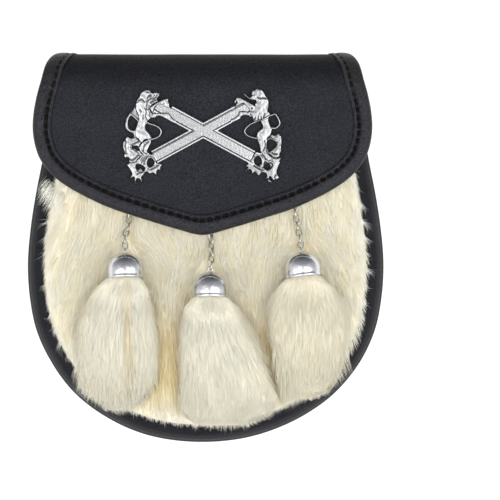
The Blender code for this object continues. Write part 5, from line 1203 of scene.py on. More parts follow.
    quads, tris = [], []
    any_in = inside[:-1, :-1] | inside[1:, :-1] | inside[:-1, 1:] | inside[1:, 1:]
    all_in = inside[:-1, :-1] & inside[1:, :-1] & inside[:-1, 1:] & inside[1:, 1:]
    for j, i in zip(*np.nonzero(any_in)):
        if all_in[j, i]:
            quads.append((node_at(j, i), node_at(j, i + 1), node_at(j + 1, i + 1), node_at(j + 1, i)))
            continue
        corners = [(j, i), (j, i + 1), (j + 1, i + 1), (j + 1, i)]
        for tri in ((corners[0], corners[1], corners[2]), (corners[0], corners[2], corners[3])):
            poly = []
            for k in range(3):
                a, b = tri[k], tri[(k + 1) % 3]
                if inside[a]:
                    poly.append(node_at(*a))
                if inside[a] != inside[b]:
                    poly.append(cross_at(a, b))
            if len(poly) == 3:
                tris.append(tuple(poly))
            elif len(poly) == 4:
                quads.append(tuple(poly))
    verts, vh, vc = np.array(verts), np.array(vh), np.array(vc)
    x, y = verts[:, 0] + BADGE_X, verts[:, 1] + BADGE_Y
    top = flap_points(y - TIP_Y, x - FLAP_X, FLAP_LEATHER / 2 + BADGE_BASE + vh)
    quads, tris = np.array(quads), np.array(tris)
    # its back is flat: the outline is carried down and closed with few faces
    half = np.concatenate([quads[:, [a, (a + 1) % 4]] for a in range(4)] + [tris[:, [a, (a + 1) % 3]] for a in range(3)])
    key = set(map(tuple, half.tolist()))
    rim = np.array([p for p in key if (p[1], p[0]) not in key], int)
    used = np.unique(rim)
    new = np.full(len(verts), -1)
    new[used] = np.arange(len(used))
    low = flap_points(y[used] - TIP_Y, x[used] - FLAP_X, FLAP_LEATHER / 2 + BADGE_BASE - 0.1)
    flat, _, faces, *_ = delaunay_2d_cdt([Vector(verts[k]) for k in used], [tuple(e) for e in new[rim].tolist()], [], 0, 1e-7)
    faces = np.array([list(f) for f in faces])
    mid = np.array([p[:] for p in flat])[faces].mean(1)
    a, b = verts[rim[:, 0]], verts[rim[:, 1]]
    hit = ((a[:, 1] > mid[:, 1:]) != (b[:, 1] > mid[:, 1:])) & (
        mid[:, :1] < (b[:, 0] - a[:, 0]) * (mid[:, 1:] - a[:, 1]) / (b[:, 1] - a[:, 1] + 1e-12) + a[:, 0])
    faces = faces[hit.sum(1) % 2 == 1]
    n = len(top)
    walls = np.stack([rim[:, 1], rim[:, 0], n + new[rim[:, 0]], n + new[rim[:, 1]]], 1)
    pts = np.concatenate([top, low])
    me = outward(link_mesh("badge_saltire", pts, np.concatenate([quads, walls]), np.concatenate([tris, faces[:, ::-1] + n])))
    attribute(me, "cavity", np.concatenate([vc, vc[used]]))
    place(me, BADGE_MAT, ["badge"], smooth=48.0)


# ---------------------------------------------------------------- chains, caps and rings
def frame_at(origin, along, roll):
    y = Vector(along).normalized()
    x = y.cross(Vector((0, 0, 1))).normalized()
    z = x.cross(y).normalized()
    base = Matrix((x, y, z)).transposed().to_4x4()
    return Matrix.Translation(Vector(origin)) @ base @ Matrix.Rotation(math.radians(roll), 4, "Y")


def oval_link(matrix, steps=26, sides=10, wire=WIRE):
    hx, hy = (LINK_WIDE - WIRE) / 2, (LINK_LONG - WIRE) / 2
    a = 2 * np.pi * (np.arange(steps) + 0.5) / steps
    c, s = np.cos(a), np.sin(a)
    q = (np.abs(c) ** 2.6 + np.abs(s) ** 2.6) ** (-1 / 2.6)
    path = np.stack([hx * q * c, hy * q * s, np.zeros(steps)], 1)
    pts, quads, tris = tube(path, wire / 2, sides, True)
    m = np.array(matrix)
    return pts @ m[:3, :3].T + m[:3, 3], quads, tris


def chain_line(chain):
    line = dense_line(CHAINS[chain], 40)
    run = lengths(line)
    return lambda s: np.array([np.interp(s, run, line[:, k]) if s <= run[-1] else line[-1, k] for k in range(3)])


def cap_axis(lean):
    return (Matrix.Rotation(math.radians(lean), 3, "Z") @ Matrix.Rotation(math.radians(-CAP_TILT), 3, "X")
            @ Vector((0, 1, 0)))


def build_metal():
    jitter = np.random.default_rng(9)
    for chain, links, roll, lean in CHAIN_ROWS:
        at = chain_line(chain)
        loose = 16.0 if chain == "left" else 5.0
        twist = 42.0 if chain == "centre" else 0.0
        for k in range(1, links + 1):
            s = k * LINK_PITCH
            wrung = twist * math.sin(math.pi * k / (links + 1))
            m = frame_at(at(s), at(s + 1.5) - at(s - 1.5), roll + 90.0 * k + wrung + jitter.uniform(-loose, loose))
            me = outward(link_mesh(f"link_{chain}_{k:02d}", *oval_link(m)))
            place(me, CHAIN_MAT, [f"chain_{chain}_{k:02d}"], smooth=None)

        loop = Vector(at(0.0))
        axis = cap_axis(lean)
        mouth = loop - axis * (CAP_H + 0.2)
        turn = Vector((0, 0, 1)).rotation_difference(axis).to_matrix().to_4x4()
        outer = [tuple(p) for p in smooth_rows(CAP, 44)]
        outer[-1] = (0.0, CAP_H)
        inner = [tuple(p) for p in smooth_rows(CAP_INSIDE, 18)]
        inner[0] = (0.0, CAP_INSIDE[0][1])
        profile = [(0.0, CAP_H)] + outer[-2::-1] + inner[::-1]
        body = turned(profile, 72, Matrix.Translation(mouth) @ turn)
        ring = oval_link(frame_at(loop, axis, roll), 30, 12, WIRE * 1.1)
        foot = turned([(0.0, -0.5), (1.75, -0.5), (1.7, 0.05), (1.2, 0.4), (0.6, 0.62), (0.0, 0.66)], 24,
                      Matrix.Translation(loop - axis * 0.35) @ turn)
        me = outward(link_mesh(f"cap_{chain}", *joined([body, ring, foot])))
        place(me, CHROME_MAT, [f"tassel_cap_{chain}"], smooth=55.0)


def build_rings():
    high, low = 3.0, RING_WIRE / 2
    for side, sx in (("left", -1), ("right", 1)):
        corner = 2.2
        path = [(-RING_HALF + corner, 0.0), (RING_HALF - corner, 0.0)]
        path[1:1] = [(t, 0.0) for t in np.linspace(-RING_HALF + corner, RING_HALF - corner, 14)[1:-1]]
        path += [(RING_HALF - corner + corner * math.sin(a), corner - corner * math.cos(a)) for a in np.linspace(0.2, 1.5, 6)]
        path += [(RING_HALF * math.cos(a), 4.0 + RING_HALF * math.sin(a)) for a in np.linspace(0, np.pi, 48)]
        path += [(-RING_HALF + corner - corner * math.sin(a), corner - corner * math.cos(a)) for a in np.linspace(1.5, 0.2, 6)]
        path = np.array(path)
        reach = 4.0 + RING_HALF
        line = np.stack([path[:, 0] + sx * RING_X, RING_Y + path[:, 1], high + (low - high) * path[:, 1] / reach], 1)
        me = outward(link_mesh(f"ring_{side}", *tube(line, RING_WIRE / 2, 18, True)))
        place(me, RING_MAT, [f"d_ring_{side}"], smooth=None)

        hole = RING_WIRE / 2 + 0.12
        outer = RING_WIRE / 2 + GAP + TAB_LEATHER
        a = np.linspace(0, 2 * np.pi, 28, endpoint=False)
        inner_loop = np.stack([RING_Y + hole * np.cos(a), high + hole * np.sin(a)], 1)
        b = np.linspace(math.radians(-128), math.radians(118), 28)
        outer_loop = [(RING_Y + outer * math.cos(t), high + outer * math.sin(t)) for t in b]
        tail = [RING_Y - 5.0, RING_Y - 7.0, RING_Y - 10.0, RING_Y - 13.0, RING_Y - 16.5, RING_Y - 19.6, RING_Y - 20.0]
        top = [min(float(back_z(y)) - 0.05, high + outer * 0.98) for y in tail]
        low_line = [t - 2 * TAB_LEATHER for t in top]
        top[-1] -= 0.35
        low_line[-1] += 0.35
        outer_loop += list(zip(tail, top)) + list(zip(tail, low_line))[::-1]
        verts = [Vector(p) for p in outer_loop] + [Vector(p) for p in inner_loop]
        n, m = len(outer_loop), len(inner_loop)
        edges = [(k, (k + 1) % n) for k in range(n)] + [(n + k, n + (k + 1) % m) for k in range(m)]
        flat, _, faces, *_ = delaunay_2d_cdt(verts, edges, [], 0, 1e-6)
        pa = np.array([p[:] for p in verts])
        flat = np.array([p[:] for p in flat])
        tri = np.array([list(f) for f in faces])
        mid = flat[tri].mean(1)
        keep = in_polygon(mid[:, 0], mid[:, 1], pa[:n]) & ~in_polygon(mid[:, 0], mid[:, 1], pa[n:])
        tri = tri[keep]
        x0, x1 = sx * RING_X - TAB_WIDE / 2, sx * RING_X + TAB_WIDE / 2
        front = np.stack([np.full(len(flat), x0), flat[:, 0], flat[:, 1]], 1)
        back = front.copy()
        back[:, 0] = x1
        me = outward(link_mesh(f"ring_tab_{side}_leather", *thick(front, back, np.zeros((0, 4), int), tri)))
        ob = place(me, BACK_LEATHER_MAT, [f"ring_tab_{side}"])
        bevel = ob.modifiers.new("soft edge", "BEVEL")
        bevel.width, bevel.segments, bevel.limit_method = 0.0003, 2, "ANGLE"
        bevel.angle_limit = math.radians(50)


# ---------------------------------------------------------------- fur
def strand_mesh(paths, radius, shape):
    """Closed tapered hairs with three sides, each along its own path of K points. shape is the radius at each but the last."""
    n, k, _ = paths.shape
    tan = np.gradient(paths, axis=1)
    tan /= np.maximum(np.linalg.norm(tan, axis=2)[..., None], 1e-9)
    side = np.cross(tan, (0.0, 0.0, 1.0))
    side /= np.maximum(np.linalg.norm(side, axis=2)[..., None], 1e-6)
    rise = np.cross(side, tan)
    a = np.radians([90.0, 210.0, 330.0])
    r = radius[:, None] * np.asarray(shape)[None, :]
    c = (np.cos(a)[None, None, :, None] * side[:, :-1, None] + np.sin(a)[None, None, :, None] * rise[:, :-1, None])
    rings = paths[:, :-1, None] + r[..., None, None] * c
    verts = np.concatenate([rings.reshape(n, -1, 3), paths[:, -1:]], axis=1)
    per = 3 * (k - 1) + 1
    quads, tris = [], [(0, 1, 2)]
    for s in range(k - 2):
        for j in range(3):
            i = (j + 1) % 3
            quads.append((3 * s + j, 3 * (s + 1) + j, 3 * (s + 1) + i, 3 * s + i))
    for j in range(3):
        tris.append((3 * (k - 2) + j, per - 1, 3 * (k - 2) + (j + 1) % 3))
    base = (np.arange(n) * per)[:, None, None]
    along = np.concatenate([np.repeat(np.linspace(0, 1, k)[:-1], 3), [1.0]])
    return (verts.reshape(-1, 3), (np.array(quads)[None] + base).reshape(-1, 4), (np.array(tris)[None] + base).reshape(-1, 3),
            np.tile(along, n), per)


def flap_edge_y(x):
    """Height of the binding's outer edge at x."""
    s = np.array([r[0] for r in FLAP][::-1])[:12]
    w = np.array([r[1] for r in FLAP][::-1])[:12]
    return np.interp(np.abs(np.asarray(x) - FLAP_X), w, s) + TIP_Y - 2.1


def tassel_axis(chain):
    """Stations down a tassel: y, middle x, middle z, half width, half depth; the first is the cap's mouth."""
    lean = {c: l for c, _, _, l in CHAIN_ROWS}[chain]
    loop = Vector(chain_line(chain)(0.0))
    mouth = loop - cap_axis(lean) * (CAP_H + 0.2)
    rows = [(mouth.y + 5.0, mouth.x, mouth.z + 0.7, 6.4, 6.4), (mouth.y + 0.6, mouth.x, mouth.z + 0.1, 9.0, 9.0)]
    for y, a, b, low, deep in TASSELS[chain]:
        rows.append((y, (a + b) / 2, low + deep / 2, (b - a) / 2, deep / 2))
    return np.array(rows)


def caps_xy():
    out = []
    for chain, _, _, lean in CHAIN_ROWS:
        loop = Vector(chain_line(chain)(0.0))
        mid = loop - cap_axis(lean) * 8.0
        out.append((mid.x, mid.y))
    return out


def flow(x, y):
    """Which way the front's hair lies: a unit direction, mostly down, parted round the caps and spreading at the sides."""
    gx = 0.15 * ripple(x, y, 44.0, 31, 6) + 0.08 * ripple(x, y, 17.0, 32, 6)
    gx = gx + 0.42 * np.sign(x) * (np.abs(x) / 92.0) ** 4
    gx = gx + 0.55 * np.exp(-((x + 28) / 12.0) ** 2 - ((y - 2) / 14.0) ** 2)
    gx = gx - 0.25 * np.exp(-((x - 30) / 14.0) ** 2 - ((y + 4) / 16.0) ** 2)
    for cx, cy in caps_xy():
        dx, dy = x - cx, y - cy
        gx = gx + 0.9 * np.tanh(dx / 5.0) * np.exp(-(dx / 15.0) ** 2 - ((dy - 10.0) / 12.0) ** 2)
    corner = np.exp(-((x + 86) / 9.0) ** 2 - ((y - 32) / 16.0) ** 2)
    gx = gx - 0.9 * corner
    d = np.stack([gx, -np.ones_like(gx)], -1)
    return d / np.linalg.norm(d, axis=-1)[..., None]


def pelt_ground(gap):
    """Height of the fur's ground, by the distance inside its edge."""
    return np.interp(gap, [-6.0, 0.0, 0.6, 2.6, 6.6, 13.6], [31.5, 33.6, 34.6, 36.0, 36.9, 37.3])


def build_front(pts, nrm):
    rings = []
    for inset, z in [tuple(p) for p in smooth_rows(PELT, 12)]:
        p = (pts - nrm * inset)[::2]
        rings.append(np.stack([p[:, 0], p[:, 1], np.full(len(p), z)], 1))
    top, quads, tris = sheet_of(rings, 40)
    low = []
    for inset in np.linspace(11.5, 24.0, len(rings)):
        p = (pts - nrm * inset)[::2]
        low.append(np.stack([p[:, 0], p[:, 1], np.full(len(p), FRONT_Z + 0.1)], 1))
    low, _, _ = sheet_of(low, 40)
    top[:, 2] += (0.5 + 0.2 * ripple(top[:, 0], top[:, 1], 18.0, 41)) * smoothstep((top[:, 2] - 34.8) / 1.2)
    ground = thick(top, low, quads, tris)
    me = outward(link_mesh("fur_front_ground", *ground))
    attribute(me, "warm", np.clip(0.25 + 0.25 * ripple(ground[0][:, 0], ground[0][:, 1], 20.0, 42), 0, 1))
    place(me, FUR_MAT, ["fur_front"], smooth=None)

    poly = (pts - nrm * PELT_INSET)
    poly = poly[::4]
    shadow = {c: np.array([(a, y) for y, a, b, *_ in TASSELS[c]] + [(b, y) for y, a, b, *_ in TASSELS[c]][::-1]) for c in TASSELS}
    rng = np.random.default_rng(17)
    want = 15200
    xs, ys = [], []
    total = 0
    while total < want:
        x = rng.uniform(-94, 94, 30000)
        y = rng.uniform(-103, 62, 30000)
        ok = y < flap_edge_y(x) + 13.0
        x, y = x[ok], y[ok]
        g = polygon_gap(x, y, poly)
        ok = g < -0.2
        x, y, g = x[ok], y[ok], g[ok]
        hidden = np.zeros(len(x), bool)
        for c, sp in shadow.items():
            hidden |= polygon_gap(x, y, sp) < -5.0
        ok = ~hidden | (rng.uniform(0, 1, len(x)) < 0.05)
        # a little denser along the edge
        ok &= (g > -6.0) | ((g > -14.0) & (y < -70.0)) | (rng.uniform(0, 1, len(x)) < np.where(y < -70.0, 0.8, 0.66))
        xs.append(x[ok])
        ys.append(y[ok])
        total += ok.sum()
    x, y = np.concatenate(xs)[:want], np.concatenate(ys)[:want]
    n = len(x)

    # hairs gather in locks: each leans towards the hair at the middle of its lock
    cell = 7.5
    cx = (np.floor(x / cell) + 0.5 + 0.35 * np.sin(12.9 * np.floor(x / cell) + 78.2 * np.floor(y / cell))) * cell
    cy = (np.floor(y / cell) + 0.5 + 0.35 * np.sin(39.3 * np.floor(x / cell) + 11.1 * np.floor(y / cell))) * cell
    lock = rng.uniform(0.15, 0.55, n)

    length = rng.normal(13.5, 2.2, n).clip(7, 19)
    lift = rng.normal(1.9, 0.5, n).clip(0.7, 3.2)
    bend = rng.normal(0, 0.10, n)
    lower_right = np.exp(-(((x - 80) / 12.0) ** 2 + ((y + 66) / 15.0) ** 2))
    lower_left = np.exp(-(((x + 60) / 14.0) ** 2 + ((y + 82) / 10.0) ** 2))
    right_side = np.exp(-(((x - 88) / 11.0) ** 4 + ((y + 47) / 19.0) ** 4))
    allow = -0.5 + 1.3 * rng.uniform(0, 1, n) ** 1.5 + 1.6 * np.maximum(lower_right, lower_left) * rng.uniform(0.2, 1, n)
    allow = allow + 5.0 * right_side * rng.uniform(0.1, 1, n) ** 0.8
    K = 3
    for _ in range(4):
        p = np.stack([x, y], 1)
        path = [p.copy()]
        for k in range(1, K):
            d = flow(p[:, 0], p[:, 1])
            turn = bend * (k / K)
            d = np.stack([d[:, 0] * np.cos(turn) - d[:, 1] * np.sin(turn), d[:, 0] * np.sin(turn) + d[:, 1] * np.cos(turn)], 1)
            p = p + d * (length / (K - 1))[:, None]
            path.append(p.copy())
        path = np.stack(path, 1)
        out = polygon_gap(path[:, -1, 0], path[:, -1, 1], poly)
        over = np.maximum(out - allow, 0)
        if over.max() < 0.3:
            break
        length = np.maximum(length - over * 0.9, 2.5)
    t = np.linspace(0, 1, K)[None, :]
    pull = lock[:, None] * t**1.6 * 0.26
    path[..., 0] += (cx - x)[:, None] * pull
    path[..., 1] += (cy - y)[:, None] * pull * 0.5
    g0 = -polygon_gap(x, y, poly)
    gt = -polygon_gap(path[..., 0].ravel(), path[..., 1].ravel(), poly).reshape(n, K)
    floor_z = pelt_ground(gt)
    z = floor_z + lift[:, None] * (length / 12.5)[:, None] * (1 - (1 - t) ** 1.9) * np.clip(0.45 + g0 / 9.0, 0.45, 1)[:, None]
    z = z - 0.5 * (1 - t)
    # hair bows under what lies on it
    for mx, my in caps_xy():
        near = np.exp(-((path[..., 0] - mx) / 9.5) ** 4 - ((path[..., 1] - my) / 9.0) ** 4)
        z = z - near * np.clip(z - 37.2, 0, None)
    under = np.clip((path[..., 1] - flap_edge_y(path[..., 0]) + 1.0) / 4.0, 0, 1)
    roof = FLAP_Z - FLAP_CROWN * (path[..., 0] / 98.0) ** 2 - 3.2
    z = np.where(under > 0, np.minimum(z, roof), z)
    path = np.concatenate([path, z[..., None]], -1)

    warm = np.clip(0.06 + 0.18 * ripple(x, y, 24.0, 51) + 0.12 * ripple(x * 1.6, y * 0.6, 9.0, 52), 0, 1)
    # painted shade: the hair is tinted tan in the valleys beside and below the tassels
    for c, sp in shadow.items():
        gap = polygon_gap(x, y, sp)
        low = np.clip((-y - 5.0) / 45.0, 0, 1) * smoothstep((y + 92.0) / 20.0)
        warm = warm + 0.80 * low * np.exp(-(np.clip(gap, 0, None) / 7.0) ** 2) * (np.abs(x) < 72)
    # painted shade round the caps
    for mx, my in caps_xy():
        warm = warm + 0.11 * np.exp(-((x - mx) / 15.0) ** 2 - ((y - my + 6.0) / 15.0) ** 2)
    # painted shade along the chains, where they lie in the hair
    for way in CHAINS.values():
        line = dense_line(way, 40)
        off = np.min(np.hypot(x[:, None] - line[None, :, 0], y[:, None] - line[None, :, 1]), axis=1)
        warm = warm + 0.50 * np.exp(-(off / 1.3) ** 2)
    edge_white = np.exp(-(g0 / 4.0) ** 2)
    warm = np.clip(warm * (1 - edge_white), 0, 0.95)
    tint = np.clip(0.5 + 0.35 * ripple(x, y, 11.0, 53) + rng.normal(0, 0.13, n) + 0.35 * edge_white, 0, 1)
    radius = rng.uniform(0.10, 0.168, n)
    verts, quads, tris, along, per = strand_mesh(path, radius, (0.9, 0.95))
    me = link_mesh("fur_front_hair", verts, quads, tris)
    over = np.clip(1.0 - g0 / 3.0, 0, 1)[:, None]
    lean = np.stack([x, y + 20.0], 1) / np.hypot(x, y + 20.0)[:, None]
    lay_of(me, np.repeat(np.concatenate([0.5 * over * lean, np.ones((n, 1))], 1), per, axis=0))
    attribute(me, "along", along)
    attribute(me, "tint", np.repeat(tint, per))
    attribute(me, "warm", np.repeat(warm, per))
    place(me, HAIR_MAT, [], smooth=None)

    # stray hairs over the rim
    side = rng.integers(0, len(poly), 1750)
    right = np.flatnonzero((poly[:, 0] > 70.0) & (poly[:, 1] > -62.0) & (poly[:, 1] < 30.0))
    side = np.concatenate([side, rng.choice(right, 420)])
    x, y = poly[side, 0], poly[side, 1]
    ok = y < flap_edge_y(x) + 3
    x, y = x[ok], y[ok]
    n = len(x)
    x, y = x + rng.uniform(-1.2, 1.2, n), y + rng.uniform(-1.2, 1.2, n)
    x, y = x - 1.4 * x / np.hypot(x, y + 10.0), y - 1.4 * (y + 10.0) / np.hypot(x, y + 10.0)
    d = flow(x, y)
    away = np.stack([x, y + 10.0], 1)
    away /= np.linalg.norm(away, axis=1)[:, None]
    wisp = 0.5 + 0.5 * ripple(x, y, 13.0, 58)
    d = d + away * (0.25 + 1.0 * wisp + rng.normal(0, 0.22, n))[:, None] + rng.normal(0, 0.13, (n, 2))
    d /= np.linalg.norm(d, axis=1)[:, None]
    length = rng.uniform(1.8, 3.6, n) + 6.4 * rng.uniform(0, 1, n) ** 2.6 * (0.25 + wisp)
    length = length * np.interp(np.abs(x), [30.0, 75.0], [0.62, 1.0])
    curl = rng.normal(0, 0.35, n) - 0.35 * np.sign(x)
    K = 4
    t = np.linspace(0, 1, K)[None]
    ang = curl[:, None] * t
    px = x[:, None] + length[:, None] * t * (d[:, :1] * np.cos(ang) - d[:, 1:] * np.sin(ang))
    py = y[:, None] + length[:, None] * t * (d[:, :1] * np.sin(ang) + d[:, 1:] * np.cos(ang))
    gt = -polygon_gap(px.ravel(), py.ravel(), poly).reshape(n, K)
    z = np.interp(gt, [-10.4, -8.0, -4.0, 0.0, 2.0], [27.5, 30.3, 32.2, 33.4, 35.0]) + 1.4 * np.sin(np.pi * t) + 0.3
    path = np.stack([px, py, z], -1)
    tuft = 260
    bx = rng.uniform(-92.5, -81.0, tuft)
    by = 41.0 - (bx + 92.0) * 0.85 + rng.uniform(-9.0, 0.5, tuft)
    way = np.radians(rng.normal(236.0, 9.0, tuft) + 1.2 * (bx + 87.0))
    far = rng.uniform(6.0, 12.5, tuft)[:, None] * t
    qx, qy = bx[:, None] + far * np.cos(way)[:, None] * (1 - 0.15 * t), by[:, None] + far * np.sin(way)[:, None]
    gt = -polygon_gap(qx.ravel(), qy.ravel(), poly).reshape(tuft, K)
    qz = np.interp(gt, [-10.4, -8.0, -4.0, 0.0, 2.0, 6.0], [27.5, 30.3, 32.2, 33.8, 35.6, 37.6]) + 1.6 * np.sin(np.pi * t) + 0.4
    path = np.concatenate([path, np.stack([qx, qy, qz], -1)])
    radius = np.concatenate([rng.uniform(0.036, 0.065, n), rng.uniform(0.06, 0.11, tuft)])
    verts, quads, tris, along, per = strand_mesh(path, radius, (1.0, 0.85, 0.55))
    me = link_mesh("fur_front_strays", verts, quads, tris)
    lay_of(me, np.tile((0.0, 0.0, 1.0), (len(verts), 1)))
    attribute(me, "along", np.clip(along + 0.5, 0, 1))
    attribute(me, "tint", np.ones(len(verts)))
    attribute(me, "warm", np.zeros(len(verts)))
    place(me, HAIR_MAT, [], smooth=None)


BLUSH = {"left": 0.14, "centre": 0.12, "right": 0.30}
SPREAD = {  # side, how much, how far down, over what length
    "left": [(np.pi, 0.20, 0.14, 0.10)], "centre": [(0.0, 0.42, 0.20, 0.17)], "right": [(0.0, 0.32, 0.16, 0.13), (np.pi, 0.22, 0.14, 0.10)]}
FEET = {  # where each tassel's hair ends, across and down
    "left": ([-79.0, -76.4, -71.2, -64.8, -57.0, -51.2, -44.1, -38.0, -31.0], [-66.0, -73.0, -82.0, -88.0, -93.0, -95.6, -93.5, -89.0, -80.0]),
    "centre": ([-16.0, -12.0, -4.0, 8.0, 22.0, 35.0, 42.0, 45.0], [-91.0, -96.6, -101.0, -101.6, -101.2, -97.4, -92.0, -85.5]),
    "right": ([40.0, 44.0, 51.0, 58.0, 62.0, 70.0, 76.0, 80.0, 84.0], [-88.0, -91.2, -87.6, -84.2, -82.4, -80.2, -77.5, -74.0, -68.0])}


def build_tassel(chain, seed):
    rows = tassel_axis(chain)
    run = np.concatenate([[0.0], np.cumsum(np.abs(np.diff(rows[:, 0])) + 0.3 * np.abs(np.diff(rows[:, 3])))])
    s_knots = run / run[-1]

    def ring_point(s, angle, scale):
        """A point of the tassel's form; s runs 0 to 1 from inside the cap to the lowest row, and a little past it."""
        r = hermite(np.clip(s, 0, 1), s_knots, rows)
        past = np.clip(s - 1, 0, None)[..., None]
        r = r + past * (rows[-1] - rows[-3]) / (s_knots[-1] - s_knots[-3]) * np.array([1.0, 1.0, 0.4, 0.25, 0.5])
        c, w = np.cos(angle), np.sin(angle)
        flat = np.clip(s * 2.5, 0, 1)
        p = 2.0 + 1.0 * flat
        q = np.where(w > 0, 1.0, (np.abs(c) ** p + np.abs(w) ** p) ** (-1 / p))
        slim = 1.0 - 0.11 * smoothstep((s - 0.10) / 0.16)
        return np.stack([r[..., 1] + r[..., 3] * c * q * scale * slim, r[..., 0], r[..., 2] + r[..., 4] * w * q * scale], -1)

    def parted(p):
        """The left tassel's hair falls open along one line."""
        if chain != "left":
            return p, np.zeros(p.shape[:-1])
        line = np.interp(-p[..., 1], [39.0, 57.0, 71.0, 89.0], [-45.2, -44.7, -43.5, -44.0])
        d = p[..., 0] - line
        shown = smoothstep((-p[..., 1] - 33.0) / 12.0) * (p[..., 2] > 44.0)
        near = shown * np.exp(-(d / 1.9) ** 2)
        q = p.copy()
        q[..., 0] += 0.10 * np.tanh(d / 0.8) * shown * np.exp(-(d / 2.6) ** 2)
        q[..., 2] -= 1.5 * near
        return q, near

    # the body of the tassel under its hair
    steps, sides = 40, 72
    s = np.linspace(0, 1, steps)
    a = np.linspace(0, 2 * np.pi, sides, endpoint=False)
    S, A = np.meshgrid(s, a, indexing="ij")
    pts = ring_point(S, A, np.interp(S, [0.0, 0.06, 0.14, 0.22], [0.80, 0.86, 0.90, 0.945]) + 0.012 * ripple(A * 6, S * 30, 6.0, seed))
    pts, near = parted(pts)
    quads = grid_quads(steps, sides, wrap=True)
    first, last = pts[0].mean(0), pts[-1].mean(0)
    flat = np.concatenate([pts.reshape(-1, 3), first[None], last[None]])
    k = np.arange(sides)
    j = (k + 1) % sides
    tris = np.concatenate([np.stack([np.full(sides, steps * sides), j, k], 1),
                           np.stack([np.full(sides, steps * sides + 1), (steps - 1) * sides + k, (steps - 1) * sides + j], 1)])
    me = outward(link_mesh(f"tassel_{chain}_ground", flat, quads, tris))
    # the parting line is tinted tan as painted shade
    attribute(me, "warm", np.concatenate([np.clip(0.35 + 0.5 * near.ravel(), 0, 1), [0.35, 0.35]]))
    place(me, FUR_MAT, [f"tassel_{chain}"], smooth=None)

    rng = np.random.default_rng(seed)

    def coat(n, K, size_mean, spread, radius):
        """Hairs over the form; more of them on the side that shows."""
        angle = rng.uniform(0, 2 * np.pi, 4 * n)
        keep = rng.uniform(0, 1, 4 * n) < np.interp(np.sin(angle), [-0.4, -0.3, 0.1, 0.2], [0.16, 0.4, 0.5, 1.0])
        angle = angle[keep][:n]
        s0 = rng.uniform(-0.03, 0.88, n)
        size = rng.normal(size_mean, 0.05, n).clip(0.12, 0.42)
        s0[: n // 8] = rng.uniform(0.02, 0.12, n // 8)
        t = np.linspace(0, 1, K)[None]
        s = s0[:, None] + size[:, None] * t
        end = 1.0 + 0.035 * rng.uniform(-1, 1, n) + 0.025 * ripple(angle * 8, s0 * 0, 5.0, seed + 5) - 0.07 * np.abs(np.cos(angle)) ** 4
        over = np.clip(s[:, -1] - end, 0, None)
        s = s0[:, None] + (size - over)[:, None] * t
        drift = 0.06 * ripple(angle * 5, s0 * 20, 6.0, seed + 1)[:, None] * t + rng.normal(0, 0.03, n)[:, None] * t
        start = rng.uniform(0.935, 0.965, n)
        stop = rng.normal(1.0, spread, n)
        near_cap = s < 0.13
        scale = start[:, None] + (stop - start)[:, None] * (1 - (1 - t) ** 1.7)
        scale = np.where(near_cap, np.minimum(scale, 0.955 + 0.015 * rng.uniform(-1, 1, n)[:, None]), scale)
        a = angle[:, None] + drift * np.clip(s * 2, 0, 1)
        path = ring_point(s, a, scale)
        # towards the foot the hair keeps its own way instead of closing in with the form
        slow = np.where(s > 0.6, np.maximum(s0[:, None], 0.6) + 0.78 * (s - np.maximum(s0[:, None], 0.6)), s)
        path[..., 0] = ring_point(np.minimum(slow, s), a, scale)[..., 0]
        path, near = parted(path)
        streak = 0.5 * ripple(angle * 9, s0 * 14, 5.0, seed + 2) + 0.3 * ripple(angle * 26, s0 * 20, 5.0, seed + 3)
        tint = np.clip(0.6 + 0.10 * streak + rng.normal(0, 0.08, n), 0, 1)
        # painted shade: the flanks, the underside and the parting are tinted tan as shade; BLUSH and the ripple are
        # the tassel's own tone
        flank_painted_shade = np.clip(np.abs(np.cos(angle)) - 0.72, 0, 1) * 1.2
        warm = np.clip(BLUSH[chain] + 0.07 * ripple(angle * 7, s0 * 16, 5.0, seed + 4) + 0.45 * flank_painted_shade
                       + 0.12 * (np.sin(angle) < 0) + 0.55 * near.max(1), 0, 0.9)
        form = np.stack([0.42 * np.cos(angle), -0.25 * np.clip((s0 - 0.6) / 0.4, 0, 1), np.maximum(np.sin(angle), 0.1) * 1.2 + 0.2], 1)
        form /= np.linalg.norm(form, axis=1)[:, None]
        verts, quads, tris, along, per = strand_mesh(path, rng.uniform(*radius, n), np.interp(np.linspace(0, 1, K)[:-1], [0, 0.4, 1], [0.75, 1.0, 0.4]))
        return verts, quads, tris, along, np.repeat(tint, per), np.repeat(warm, per), np.repeat(form, per, axis=0)

    under = coat(7800, 3, 0.22, 0.009, (0.078, 0.13))
    over = coat(900, 5, 0.24, 0.018, (0.045, 0.08))
